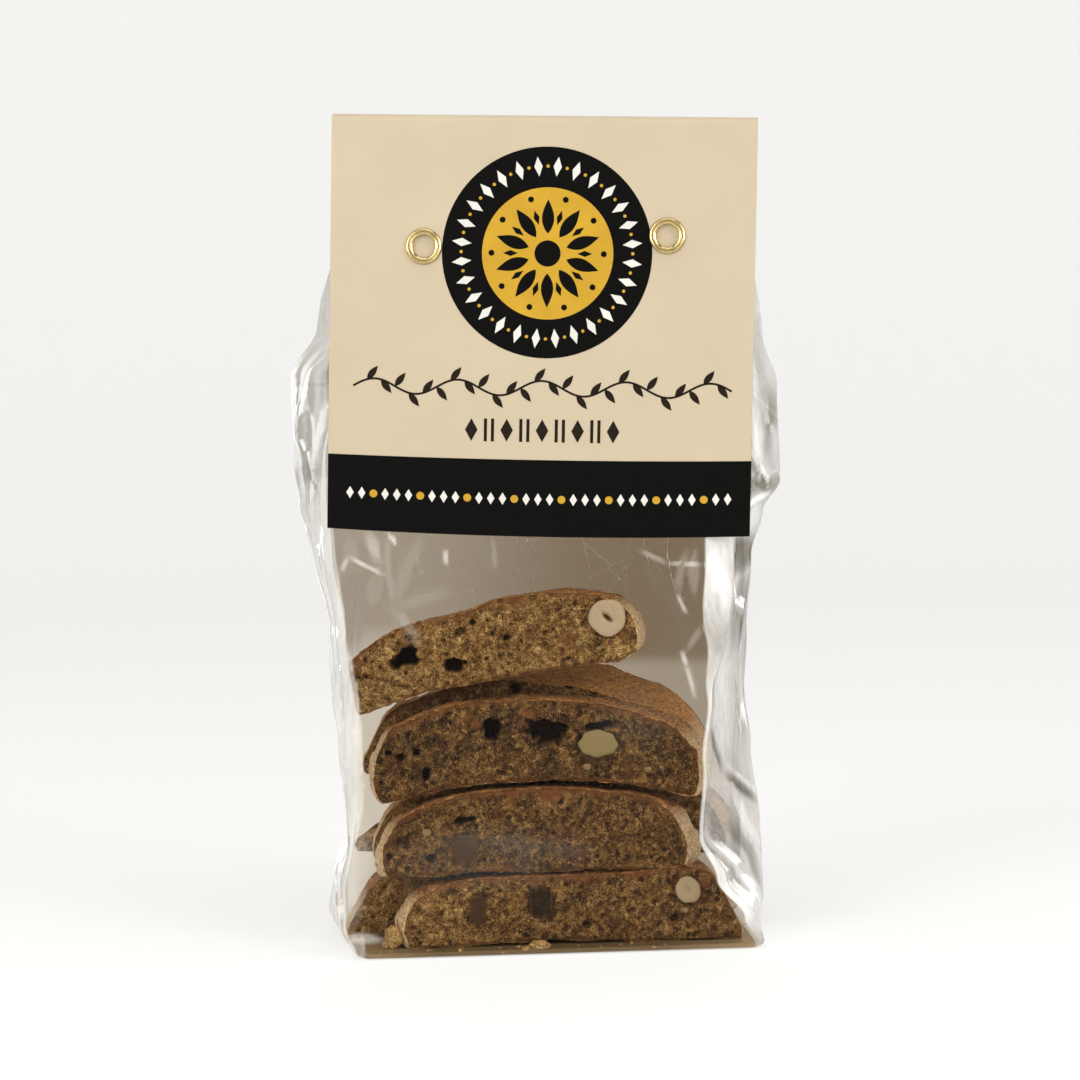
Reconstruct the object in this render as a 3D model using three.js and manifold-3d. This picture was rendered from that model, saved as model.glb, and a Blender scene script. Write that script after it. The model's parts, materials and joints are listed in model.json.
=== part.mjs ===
// A stand-up pack of biscotti: a clear side-gusseted bag on a stiff base, closed by a
// folded header card that two eyelets clamp through the flattened mouth of the bag.
// Millimetres, +Z up, front towards -Y, origin on the floor under the middle of the pack's
// outer box. The dimensions below are taken from the middle of the bag's base instead.
//
// The bag is one closed solid with the outer shape of the filled bag. Its cross-section is
// a hexagon whose corners are the bag's folds: two front folds, two back folds and the
// middle fold of each side gusset. From the base up to the header card the section turns
// a little about the pack's axis, because the soft bag has twisted under its stiff card.

import * as THREE from "three";
import { mergeVertices } from "three/addons/utils/BufferGeometryUtils.js";
import Module from "manifold-3d";

// ---- Driving dimensions -------------------------------------------------------------

const BASE = { width: 100, depth: 60 };
const HEADER = { width: 107.5, height: 105, thickness: 0.4, bottomZ: 106, bow: 1.2, offset: -0.5 };
const TURN = THREE.MathUtils.degToRad(-8.5); // header card about the vertical axis
const LEAN = THREE.MathUtils.degToRad(1.8); // header card to its right, in its own plane
const FRONT_PLANE = -18; // outer face of the header's front panel, before the turn
const GAP = 0.3; // air between neighbouring pieces
const MOUTH = { thickness: 1.8, topZ: 209.2 };

// The rear panel hangs straight down behind the eyelets, then bends out over the bag.
const REAR = { straightZ: 172, bendRadius: 40, slope: THREE.MathUtils.degToRad(26), endZ: 113 };

const EYELET = {
  places: { left: [-29.9, 71.8], right: [31.6, 75.2] }, // across and up the card
  boreRadius: 2.8,
  barrelRadius: 3.15,
  flangeRadius: 4.6,
  flangeHeight: 0.9,
};

// Where the folds of the bag lie at each height: the middle folds of the gussets (side)
// and the front corner folds (front), left and right of the axis.
const FOLDS = [
  { z: 0, side: [-49, 50], front: [-49, 50] },
  { z: 1.5, side: [-55, 54.5], front: [-51.5, 51.5] },
  { z: 8, side: [-57.4, 56], front: [-54, 48.5] },
  { z: 18, side: [-56, 55.7], front: [-54, 41.5] },
  { z: 29, side: [-51.5, 55.2], front: [-52, 36.5] },
  { z: 48, side: [-54.2, 53], front: [-51.5, 38.5] },
  { z: 66, side: [-56, 51], front: [-50.5, 41.4] },
  { z: 80, side: [-56.3, 51.8], front: [-51.5, 44.7] },
  { z: 100, side: [-60.5, 54], front: [-55, 46.4] },
  { z: 112, side: [-63, 57], front: [-56, 46.6] },
  { z: 120, side: [-63.9, 61.2], front: [-55.5, 46.8] },
  { z: 144, side: [-64.2, 59.9], front: [-52, 47.5] },
  { z: 157, side: [-57.3, 56], front: [-48, 48] },
  { z: 180, side: [-52.5, 52.5], front: [-48, 48] },
  { z: MOUTH.topZ, side: [-51.5, 51.5], front: [-48, 48] },
];
const BACK_FOLD = { body: 51.5, mouth: 48 }; // the back folds' distance from the axis
const BELLY = 1.3; // how far the front and back panels bulge between their folds
const SWELL = 0.6; // how far the front and back stand out past the base card
const FOOT = 1; // how far the lower edge of the bag is rounded in under the base card
const SHOULDER = 5; // how softly the back of the body runs into the slope above it

// Heights between which the bag changes from one form to another.
const CHANGE = {
  swell: [0, 12],
  bellyStarts: [4, 30],
  bellyEnds: [70, HEADER.bottomZ],
  frontSlopes: [60, HEADER.bottomZ - 1],
  backNarrows: [90, 140],
  twist: [20, HEADER.bottomZ],
};

// How finely the curved pieces are divided.
const STEPS = { bagLevels: 44, panel: 10, gusset: 3, cardAcross: 12, cardFront: 8, cardFold: 6 };
const REAR_STEPS = 14;
const EYELET_SIDES = 32;
const RIM_STEPS = 8;

// ---- Small helpers ------------------------------------------------------------------

const { clamp, lerp, smoothstep } = THREE.MathUtils;
const UP = new THREE.Vector3(0, 0, 1);
const BACKWARD = new THREE.Vector3(0, 1, 0);

/** From 0 to 1 as z passes through a range of heights. */
function eased(z, [from, to]) {
  return smoothstep(z, from, to);
}

/** Value of one fold at height z, eased between the listed heights. */
function foldAt(z, key, side) {
  const next = FOLDS.findIndex((row) => row.z >= z);
  const upper = FOLDS[clamp(next === -1 ? FOLDS.length - 1 : next, 1, FOLDS.length - 1)];
  const lower = FOLDS[FOLDS.indexOf(upper) - 1];
  return lerp(lower[key][side], upper[key][side], smoothstep(z, lower.z, upper.z));
}

/** Height and depth along the back of the mouth, from straightZ down the bend and slope. */
function rearDepth(z, start) {
  const bendHeight = REAR.bendRadius * Math.sin(REAR.slope);
  const drop = Math.max(0, REAR.straightZ - z);
  if (drop <= bendHeight) {
    return start + REAR.bendRadius - Math.sqrt(REAR.bendRadius ** 2 - drop ** 2);
  }
  const bendDepth = REAR.bendRadius * (1 - Math.cos(REAR.slope));
  return start + bendDepth + (drop - bendHeight) * Math.tan(REAR.slope);
}

const mouthFront = FRONT_PLANE + HEADER.thickness + GAP;
const mouthBack = mouthFront + MOUTH.thickness;
const rearInner = mouthBack + GAP;

/** Front face of the bag: full depth low down, against the header card higher up. */
function frontDepth(z) {
  const body = -BASE.depth / 2 - SWELL * eased(z, CHANGE.swell);
  return lerp(body, mouthFront, eased(z, CHANGE.frontSlopes));
}

/** Back face of the bag: the slope under the rear panel, rounded into the body below. */
function backDepth(z) {
  const body = BASE.depth / 2 + SWELL * eased(z, CHANGE.swell);
  const slope = rearDepth(z, mouthBack);
  const blend = clamp(0.5 + (0.5 * (body - slope)) / SHOULDER, 0, 1);
  return lerp(body, slope, blend) - SHOULDER * blend * (1 - blend);
}

/** Moves a point of the section at height z into the pack's own frame. */
function place(across, depth, z) {
  const twist = eased(z, CHANGE.twist);
  const up = Math.max(0, z - HEADER.bottomZ);
  return new THREE.Vector3(across, depth, up)
    .applyAxisAngle(BACKWARD, LEAN * twist)
    .add(new THREE.Vector3(HEADER.offset * twist, 0, 0))
    .applyAxisAngle(UP, TURN * twist)
    .add(new THREE.Vector3(0, 0, z - up))
    .toArray();
}

/** A closed body from rings of points. Each end is shut by a strip across its ring. */
function loft(rings) {
  const count = rings[0].length;
  const positions = rings.flat(2);
  const index = [];
  for (let level = 0; level + 1 < rings.length; level++) {
    for (let i = 0; i < count; i++) {
      const a = level * count + i;
      const b = level * count + ((i + 1) % count);
      index.push(a, b, b + count, a, b + count, a + count);
    }
  }
  const top = (rings.length - 1) * count;
  for (let i = 0; i + 1 < count / 2; i++) {
    const [a, b] = [i, i + 1];
    const [c, d] = [count - 2 - i, count - 1 - i];
    index.push(a, d, b, b, d, c);
    index.push(top + a, top + b, top + d, top + b, top + c, top + d);
  }
  const geometry = new THREE.BufferGeometry();
  geometry.setAttribute("position", new THREE.Float32BufferAttribute(positions, 3));
  geometry.setIndex(index);
  return geometry;
}

const wasm = await Module();
wasm.setup();

/** A three.js geometry as a solid, in the place that matrix gives it. */
function toSolid(geometry, matrix = new THREE.Matrix4()) {
  const moved = geometry.clone().applyMatrix4(matrix);
  moved.deleteAttribute("normal");
  moved.deleteAttribute("uv");
  const merged = mergeVertices(moved, 1e-4);
  return new wasm.Manifold(
    new wasm.Mesh({
      numProp: 3,
      vertProperties: new Float32Array(merged.attributes.position.array),
      triVerts: new Uint32Array(merged.index.array),
    }),
  );
}

/** A solid as a three.js geometry. */
function toGeometry(solid) {
  const mesh = solid.getMesh();
  const geometry = new THREE.BufferGeometry();
  geometry.setAttribute("position", new THREE.BufferAttribute(mesh.vertProperties, 3));
  geometry.setIndex(new THREE.BufferAttribute(mesh.triVerts, 1));
  geometry.computeVertexNormals();
  return geometry;
}

/** Turns the card's own frame (across, depth, up from its lower edge) into the pack's. */
const cardMatrix = new THREE.Matrix4()
  .makeRotationZ(TURN)
  .multiply(new THREE.Matrix4().makeTranslation(HEADER.offset, 0, HEADER.bottomZ))
  .multiply(new THREE.Matrix4().makeRotationY(LEAN));

// ---- The bag ------------------------------------------------------------------------

/** Points from one fold to the next, the last one left out. */
function edge([u0, v0], [u1, v1], steps, bulge = 0) {
  return Array.from({ length: steps }, (_, i) => {
    const t = i / steps;
    return [lerp(u0, u1, t), lerp(v0, v1, t) + bulge * 4 * t * (1 - t)];
  });
}

function bagRing(z) {
  const front = frontDepth(z);
  const back = backDepth(z);
  const middle = lerp(front, back, 0.5);
  const foot = z === 0 ? FOOT : 0;
  const belly = BELLY * eased(z, CHANGE.bellyStarts) * (1 - eased(z, CHANGE.bellyEnds));
  const backFold = lerp(BACK_FOLD.body, BACK_FOLD.mouth, eased(z, CHANGE.backNarrows)) - foot;
  const frontLeft = [foldAt(z, "front", 0), front + foot];
  const frontRight = [foldAt(z, "front", 1), front + foot];
  const sideRight = [foldAt(z, "side", 1), middle];
  const sideLeft = [foldAt(z, "side", 0), middle];
  const backRight = [backFold, back - foot];
  const backLeft = [-backFold, back - foot];
  return [
    ...edge(frontLeft, frontRight, STEPS.panel, -belly),
    ...edge(frontRight, sideRight, STEPS.gusset),
    ...edge(sideRight, backRight, STEPS.gusset),
    ...edge(backRight, backLeft, STEPS.panel, belly),
    ...edge(backLeft, sideLeft, STEPS.gusset),
    ...edge(sideLeft, frontLeft, STEPS.gusset),
  ].map(([across, depth]) => place(across, depth, z));
}

function buildBag(bores) {
  const footTop = FOLDS[1].z;
  const heights = [0];
  for (let i = 0; i <= STEPS.bagLevels; i++) {
    heights.push(lerp(footTop, MOUTH.topZ, i / STEPS.bagLevels));
  }
  return toGeometry(toSolid(loft(heights.map(bagRing))).subtract(bores));
}

// ---- The header card ----------------------------------------------------------------

/** The card's middle line seen from the side: [depth, height up the card, facing angle]. */
function cardPath() {
  const half = HEADER.thickness / 2;
  const frontMid = FRONT_PLANE + half;
  const rearMid = rearInner + half;
  const foldRadius = (rearMid - frontMid) / 2;
  const foldTop = HEADER.height - half - foldRadius;
  const path = [];
  for (let i = 0; i <= STEPS.cardFront; i++) {
    path.push([frontMid, (foldTop * i) / STEPS.cardFront, 0]);
  }
  for (let i = 1; i < STEPS.cardFold; i++) {
    const angle = (Math.PI * i) / STEPS.cardFold;
    const depth = frontMid + foldRadius * (1 - Math.cos(angle));
    path.push([depth, foldTop + foldRadius * Math.sin(angle), angle]);
  }
  path.push([rearMid, foldTop, Math.PI]);
  const rearTop = REAR.straightZ - HEADER.bottomZ;
  const rearEnd = REAR.endZ - HEADER.bottomZ;
  const bendHeight = REAR.bendRadius * Math.sin(REAR.slope);
  for (let i = 0; i <= REAR_STEPS; i++) {
    const up = lerp(rearTop, rearEnd, i / REAR_STEPS);
    const bent = Math.min(1, (rearTop - up) / bendHeight);
    path.push([rearDepth(up + HEADER.bottomZ, rearMid), up, Math.PI - REAR.slope * bent]);
  }
  return path;
}

function buildHeaderCard(bores) {
  const path = cardPath();
  const half = HEADER.thickness / 2;
  const rings = [];
  for (let i = 0; i <= STEPS.cardAcross; i++) {
    const across = lerp(-HEADER.width / 2, HEADER.width / 2, i / STEPS.cardAcross);
    const bow = HEADER.bow * (1 - ((2 * across) / HEADER.width) ** 2);
    const offset = (side) => ([depth, up, angle], step) => [
      across,
      depth - side * half * Math.cos(angle),
      up + side * half * Math.sin(angle) - (step === 0 ? bow : 0),
    ];
    rings.push([...path.map(offset(1)), ...path.map(offset(-1)).reverse()].reverse());
  }
  return toGeometry(toSolid(loft(rings), cardMatrix).subtract(bores));
}

// ---- The eyelets --------------------------------------------------------------------

/** Puts an eyelet, whose own axis is +Y towards the back, at its place on the card. */
function eyeletMatrix([across, up]) {
  return cardMatrix.clone().multiply(new THREE.Matrix4().makeTranslation(across, 0, up));
}

/** One rolled rim: a half-round ring that stands on the card, from the bore outwards. */
function rimPoints(face, outward) {
  const { boreRadius, barrelRadius, flangeRadius, flangeHeight } = EYELET;
  const middle = (boreRadius + flangeRadius) / 2;
  const halfWidth = (flangeRadius - boreRadius) / 2;
  const points = [];
  for (let i = 0; i <= RIM_STEPS; i++) {
    const angle = Math.PI * (1 - i / RIM_STEPS);
    points.push([
      middle + halfWidth * Math.cos(angle),
      face + outward * flangeHeight * Math.sin(angle),
    ]);
  }
  points.push([barrelRadius, face]);
  return points;
}

function buildEyelet() {
  const frontFace = FRONT_PLANE - GAP;
  const rearFace = rearInner + HEADER.thickness + GAP;
  const profile = [...rimPoints(frontFace, -1), ...rimPoints(rearFace, 1).reverse()];
  profile.push(profile[0]);
  return new THREE.LatheGeometry(
    profile.map(([radius, depth]) => new THREE.Vector2(radius, depth)),
    EYELET_SIDES,
  );
}

function buildBores() {
  const bore = new THREE.CylinderGeometry(
    EYELET.barrelRadius + GAP,
    EYELET.barrelRadius + GAP,
    BASE.depth,
    EYELET_SIDES,
  );
  const [left, right] = Object.values(EYELET.places).map((spot) => {
    return toSolid(bore, eyeletMatrix(spot));
  });
  return left.add(right);
}

// ---- Materials and assembly ---------------------------------------------------------

function material(color, roughness, metalness, extra = {}) {
  return new THREE.MeshStandardMaterial({ color, roughness, metalness, ...extra });
}

function part(name, geometry, look) {
  const mesh = new THREE.Mesh(geometry, look);
  mesh.name = name;
  return mesh;
}

const bores = buildBores();
const clearFilm = material(0xcfcac0, 0.12, 0, { transparent: true, opacity: 0.4 });
const creamCard = material(0xe3d1b3, 0.6, 0);
const brass = material(0xc8ad6a, 0.25, 1);

const pack = new THREE.Group();
pack.add(part("bag", buildBag(bores), clearFilm));
pack.add(part("header_card", buildHeaderCard(bores), creamCard));
for (const [side, spot] of Object.entries(EYELET.places)) {
  const eyelet = part(`eyelet_${side}`, buildEyelet(), brass);
  eyelet.applyMatrix4(eyeletMatrix(spot));
  pack.add(eyelet);
}

const box = new THREE.Box3().setFromObject(pack, true);
const middle = box.getCenter(new THREE.Vector3());
pack.position.set(-middle.x, -middle.y, -box.min.z);

export default pack;
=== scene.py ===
"""A stand-up pack of biscotti: a clear side-gusseted bag on a base card, closed by a
folded header card with two brass eyelets.

Lengths are in millimetres in the pack's own axes: X to the right, Y to the back and Z up,
from the middle of the bag's base. to_frame() turns them into the frame's metres.
"""

import json
import math
from itertools import product

import bpy
import numpy as np
from mathutils import Matrix, Quaternion, Vector

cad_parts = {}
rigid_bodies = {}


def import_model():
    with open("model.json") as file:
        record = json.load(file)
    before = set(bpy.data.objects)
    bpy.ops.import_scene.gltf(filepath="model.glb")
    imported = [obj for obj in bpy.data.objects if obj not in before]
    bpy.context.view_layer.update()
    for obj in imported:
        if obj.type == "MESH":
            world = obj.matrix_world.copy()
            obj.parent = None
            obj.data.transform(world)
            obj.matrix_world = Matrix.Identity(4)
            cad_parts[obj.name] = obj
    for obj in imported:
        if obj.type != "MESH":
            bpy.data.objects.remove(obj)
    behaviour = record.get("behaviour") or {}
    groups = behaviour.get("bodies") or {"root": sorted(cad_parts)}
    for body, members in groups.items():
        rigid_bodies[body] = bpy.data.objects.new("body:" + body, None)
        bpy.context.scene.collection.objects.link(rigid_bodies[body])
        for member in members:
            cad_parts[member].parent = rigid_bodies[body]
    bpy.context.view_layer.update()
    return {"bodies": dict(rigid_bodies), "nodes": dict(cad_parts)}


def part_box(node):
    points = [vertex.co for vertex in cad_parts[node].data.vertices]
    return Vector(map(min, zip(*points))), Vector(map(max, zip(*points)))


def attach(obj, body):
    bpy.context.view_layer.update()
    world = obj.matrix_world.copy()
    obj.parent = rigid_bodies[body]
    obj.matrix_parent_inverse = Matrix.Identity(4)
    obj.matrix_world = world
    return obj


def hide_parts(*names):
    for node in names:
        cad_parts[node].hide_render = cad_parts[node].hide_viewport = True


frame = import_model()

MM = 0.001

# ---- Where the pack stands ----------------------------------------------------------

CARD = {"width": 107.5, "height": 105.0, "bottom": 106.0, "bow": 1.2, "offset": -0.5}
CARD_FRONT = -18.0  # outer face of the front panel, before the turn
TURN = math.radians(-8.5)  # header card about the vertical axis
LEAN = math.radians(1.8)  # header card to its right, in its own plane
EYELETS = {"eyelet_left": (-29.9, 71.8), "eyelet_right": (31.6, 75.2)}  # across, up the card
EYELET_MIDDLE = -16.4  # depth of an eyelet's middle, before the turn

card_to_pack = (
    Matrix.Rotation(TURN, 4, "Z")
    @ Matrix.Translation((CARD["offset"], 0, CARD["bottom"]))
    @ Matrix.Rotation(LEAN, 4, "Y")
)


def pack_axis():
    """The foot of the pack's axis in the frame, found from the left eyelet's place."""
    low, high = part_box("eyelet_left")
    across, up = EYELETS["eyelet_left"]
    here = card_to_pack @ Vector((across, EYELET_MIDDLE, up))
    axis = (low + high) / 2 - here * MM
    return Vector((axis.x, axis.y, 0))


AXIS = pack_axis()


def to_frame(points):
    """Points in the pack's millimetres as points in the frame's metres."""
    return np.asarray(points, float) * MM + np.array(AXIS)


def card_points(points):
    """Points (across, depth, up) of the header card as points of the pack."""
    matrix = np.array(card_to_pack)
    return np.asarray(points, float) @ matrix[:3, :3].T + matrix[:3, 3]


# ---- Small helpers ------------------------------------------------------------------


def smooth(t, start=0.0, end=1.0):
    """From 0 to 1 as t goes from start to end, with level ends."""
    t = np.clip((np.asarray(t, float) - start) / (end - start), 0, 1)
    return t * t * (3 - 2 * t)


def curve(points, t):
    """Heights of a smooth curve through (place, height) points, at places t."""
    places, heights = np.array(points, float).T
    slopes = np.gradient(heights, places)
    t = np.clip(t, places[0], places[-1])
    i = np.clip(np.searchsorted(places, t, side="right") - 1, 0, len(places) - 2)
    span = places[i + 1] - places[i]
    s = (t - places[i]) / span
    return (
        heights[i] * (1 + 2 * s) * (1 - s) ** 2
        + slopes[i] * span * s * (1 - s) ** 2
        + heights[i + 1] * s * s * (3 - 2 * s)
        + slopes[i + 1] * span * s * s * (s - 1)
    )


def hashed(cells, seed):
    """A fixed number from 0 to 1 for each row of whole numbers."""
    primes = np.array([374761393, 668265263, 1440662683][: cells.shape[-1]])
    h = (cells * primes).sum(-1) + (seed + 1) * 1013904223
    h = (h ^ (h >> 13)) & 0xFFFFFFFF
    h = (h * 1274126177) & 0xFFFFFFFF
    h = (h ^ (h >> 16)) * 2246822519 & 0xFFFFFFFF
    return ((h ^ (h >> 15)) & 0xFFFFFF) / 0xFFFFFF


def soft_noise(points, size, seed):
    """Smooth noise from -1 to 1 whose bumps are about `size` across."""
    p = np.asarray(points, float) / size
    cell = np.floor(p).astype(np.int64)
    t = p - cell
    t = t * t * (3 - 2 * t)
    total = np.zeros(len(p))
    for corner in product((0, 1), repeat=p.shape[1]):
        corner = np.array(corner)
        weight = np.prod(np.where(corner == 1, t, 1 - t), axis=1)
        total += weight * hashed(cell + corner, seed)
    return 2 * total - 1


def even_noise(spots, size, seed):
    """Smooth noise of flat points without a direction: two turned layers of it."""
    total = 0
    for layer, angle in enumerate((0.4, 1.3)):
        cos, sin = math.cos(angle), math.sin(angle)
        total = total + soft_noise(spots @ np.array([[cos, -sin], [sin, cos]]), size, seed + 31 * layer)
    return total * 0.72


def scattered(points, size, seed):
    """Distance to the nearest and the second nearest of points scattered about `size`
    apart, as shares of that size, and a number from 0 to 1 that the nearest one owns."""
    p = np.asarray(points, float) / size
    cell = np.floor(p).astype(np.int64)
    nearest = np.full(len(p), 9.0)
    second = nearest.copy()
    own = np.zeros(len(p))
    for shift in product((-1, 0, 1), repeat=p.shape[1]):
        there = cell + np.array(shift)
        jitter = np.stack([hashed(there, seed + k) for k in range(p.shape[1])], 1)
        away = np.linalg.norm(p - there - jitter, axis=1)
        closer = away < nearest
        second = np.where(closer, nearest, np.minimum(second, away))
        own = np.where(closer, hashed(there, seed + 7), own)
        nearest = np.minimum(nearest, away)
    return nearest, second, own


def add_object(name, data):
    thing = bpy.data.objects.new(name, data)
    bpy.context.scene.collection.objects.link(thing)
    return thing


def build(name, points, faces, materials, sides=None, values=None, flat=False):
    """A mesh object from pack points. `sides` gives each face's material. `values` holds numbers for each
    point."""
    mesh = bpy.data.meshes.new(name)
    mesh.from_pydata(to_frame(points).tolist(), [], [list(map(int, f)) for f in faces])
    for material in materials:
        mesh.materials.append(material)
    if sides is not None:
        mesh.polygons.foreach_set("material_index", np.minimum(sides, len(materials) - 1))
    for key, numbers in (values or {}).items():
        layer = mesh.attributes.new(key, "FLOAT", "POINT")
        layer.data.foreach_set("value", np.asarray(numbers, np.float32))
    mesh.polygons.foreach_set("use_smooth", [not flat] * len(mesh.polygons))
    mesh.update()
    return add_object(name, mesh)


def hand_over(piece, replaces=None):
    """Makes a finished piece part of the object."""
    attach(piece, next(iter(frame["bodies"])))
    if replaces:
        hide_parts(replaces)
    return piece


def join(name, parts, material):
    """One piece from parts, each its points, its faces and its values by name. A value is
    a number for each point, or one number for all of them."""
    starts = np.cumsum([0] + [len(points) for points, _, _ in parts])
    return build(
        name, np.concatenate([points for points, _, _ in parts]),
        np.concatenate([faces + start for (_, faces, _), start in zip(parts, starts)]), [material],
        values={
            key: np.concatenate([np.broadcast_to(values[key], len(points)) for points, _, values in parts])
            for key in parts[0][2]
        },
    )


def grid_faces(rows, columns):
    """Four-sided faces of a grid of points, row by row, whose columns close to a ring."""
    r, c = np.meshgrid(np.arange(rows - 1), np.arange(columns), indexing="ij")
    r, c = r.ravel(), c.ravel()
    a = r * columns + c
    b = r * columns + (c + 1) % columns
    return np.stack([a, b, b + columns, a + columns], 1)


def prisms(shapes, near, far):
    """Points and faces of closed flat-sided solids between two depths, each with an
    outline of (across, up) points."""
    points, faces = [], []
    for shape in shapes:
        area = sum(a[0] * b[1] - b[0] * a[1] for a, b in zip(shape, shape[1:] + shape[:1]))
        shape = shape if area > 0 else shape[::-1]
        first, count = len(points), len(shape)
        points += [(u, depth, w) for depth in (near, far) for u, w in shape]
        faces.append([first + k for k in range(count)])
        faces.append([first + count + k for k in reversed(range(count))])
        for k in range(count):
            after = (k + 1) % count
            faces.append([first + after, first + k, first + count + k, first + count + after])
    return points, faces


def disc(middle, radius, steps=120):
    """The outline of a circle."""
    return [
        (middle[0] + radius * math.cos(2 * math.pi * k / steps),
         middle[1] + radius * math.sin(2 * math.pi * k / steps))
        for k in range(steps)
    ]


def spun(x, z, turn, middle):
    """Places in a slice's face, turned and then moved to `middle`."""
    cos, sin = math.cos(turn), math.sin(turn)
    return x * cos - z * sin + middle[0], x * sin + z * cos + middle[1]


# ---- Materials ----------------------------------------------------------------------


def shader(name):
    material = bpy.data.materials.new(name)
    material.use_nodes = True
    material.node_tree.nodes.clear()
    return material, material.node_tree


def add(tree, kind, settings=None, **inputs):
    """Adds a node. An input is a number, a colour or another node's socket."""
    node = tree.nodes.new("ShaderNode" + kind)
    for key, value in (settings or {}).items():
        setattr(node, key, value)
    for key, value in inputs.items():
        socket = node.inputs[key.replace("_", " ")]
        if isinstance(value, bpy.types.NodeSocket):
            tree.links.new(value, socket)
        else:
            socket.default_value = value
    return node


def finish_shader(tree, surface):
    output = tree.nodes.new("ShaderNodeOutputMaterial")
    tree.links.new(surface, output.inputs["Surface"])


def finish_plain(tree, colour, rough, normal, specular=0.5, metallic=0.0):
    """Ends a material with a plain opaque surface."""
    surface = add(
        tree, "BsdfPrincipled", None, Base_Color=colour, Roughness=rough, Normal=normal,
        Specular_IOR_Level=specular, Metallic=metallic,
    )
    finish_shader(tree, surface.outputs[0])


def set_inputs(tree, node, values):
    """Sets a node's inputs by their number, each to a constant or another node's socket."""
    for index, value in values.items():
        if isinstance(value, bpy.types.NodeSocket):
            tree.links.new(value, node.inputs[index])
        else:
            node.inputs[index].default_value = value


MIX_COLOURS = {"share": 0, "first": 6, "second": 7, "result": 2}  # sockets of a colour's Mix


def mixed(tree, share, first, second):
    """A colour between two colours, each a colour or a socket."""
    node = add(tree, "Mix", {"data_type": "RGBA"})
    first, second = (c if isinstance(c, bpy.types.NodeSocket) else (*c, 1) for c in (first, second))
    sockets = MIX_COLOURS
    set_inputs(tree, node, {sockets["share"]: share, sockets["first"]: first, sockets["second"]: second})
    return node.outputs[sockets["result"]]


def maths(tree, operation, first, second=0.0, clamp=False):
    node = add(tree, "Math", {"operation": operation, "use_clamp": clamp})
    set_inputs(tree, node, {0: first, 1: second})
    return node.outputs[0]


def times(tree, first, second):
    return maths(tree, "MULTIPLY", first, second)


def plus(tree, first, second, clamp=False):
    return maths(tree, "ADD", first, second, clamp)


def mixed_shaders(tree, share, first, second):
    node = add(tree, "MixShader", None, Fac=share)
    set_inputs(tree, node, {1: first.outputs[0], 2: second.outputs[0]})
    return node


def vector_maths(tree, operation, first, second):
    node = add(tree, "VectorMath", {"operation": operation})
    set_inputs(tree, node, {0: first, 1: second})
    return node.outputs


def remap(tree, value, low, high, to_low=0.0, to_high=1.0):
    node = add(tree, "MapRange", None, Value=value)
    for key, number in zip(("From Min", "From Max", "To Min", "To Max"), (low, high, to_low, to_high)):
        node.inputs[key].default_value = number
    return node.outputs["Result"]


def ramp(tree, value, stops):
    """A colour from a number, by (place, colour) stops."""
    node = add(tree, "ValToRGB", None, Fac=value)
    stack = node.color_ramp.elements
    while len(stack) < len(stops):
        stack.new(0.5)
    for element, (place, colour) in zip(stack, stops):
        element.position = place
        element.color = (*colour, 1)
    return node.outputs["Color"]


def here(tree):
    return add(tree, "TexCoord").outputs["Object"]


def noise(tree, size, detail=3.0, rough=0.6, stretch=None, distortion=0.0):
    """Noise from 0 to 1 whose bumps are about `size` millimetres across."""
    where = here(tree)
    if stretch:
        where = add(tree, "Mapping", None, Vector=where, Scale=stretch).outputs[0]
    node = add(
        tree, "TexNoise", None, Vector=where, Scale=1 / (size * MM), Detail=detail,
        Roughness=rough, Distortion=distortion,
    )
    return node.outputs["Fac"]


def bump(tree, height, depth, strength=1.0):
    return add(
        tree, "Bump", None, Height=height, Distance=depth * MM, Strength=strength
    ).outputs["Normal"]


def attribute(tree, key):
    return add(tree, "Attribute", {"attribute_name": key}).outputs["Fac"]


# The facet and fold tints, and the fold milk colour, are painted shade: darker facets, dark creases and
# shaded patches.
FILM_TINT = {
    "front": (0.82, 0.775, 0.71), "back": (0.286, 0.219, 0.149), "gusset": (0.9, 0.89, 0.87),
    "facet": (0.3, 0.29, 0.27), "fold": (0.26, 0.235, 0.18),
}
MILK_TINT = {"front": (0.86, 0.82, 0.74), "gusset": (0.94, 0.94, 0.92), "fold": (0.22, 0.2, 0.15)}
FACET = {"size": 13, "slope": 0.4}  # of the crumpled film: millimetres and rise over run


def facets(tree, size, slope):
    """Crumpled facets: a height in metres, a number for each facet, and the distance in
    millimetres to the nearest edge between two."""
    where = add(tree, "Mapping", None, Vector=here(tree), Scale=(1, 1, 0.55)).outputs[0]
    cells = add(tree, "TexVoronoi", None, Vector=where, Scale=1 / (size * MM))
    away = vector_maths(tree, "SUBTRACT", where, cells.outputs["Position"])[0]
    lean = vector_maths(tree, "SUBTRACT", cells.outputs["Color"], (0.5, 0.5, 0.5))[0]
    height = vector_maths(tree, "DOT_PRODUCT", away, lean)["Value"]
    number = add(tree, "SeparateColor", None, Color=cells.outputs["Color"]).outputs["Green"]
    edges = add(tree, "TexVoronoi", {"feature": "DISTANCE_TO_EDGE"}, Vector=where, Scale=1 / (size * MM))
    edge = times(tree, edges.outputs["Distance"], size)
    return times(tree, height, slope), number, edge


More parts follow.
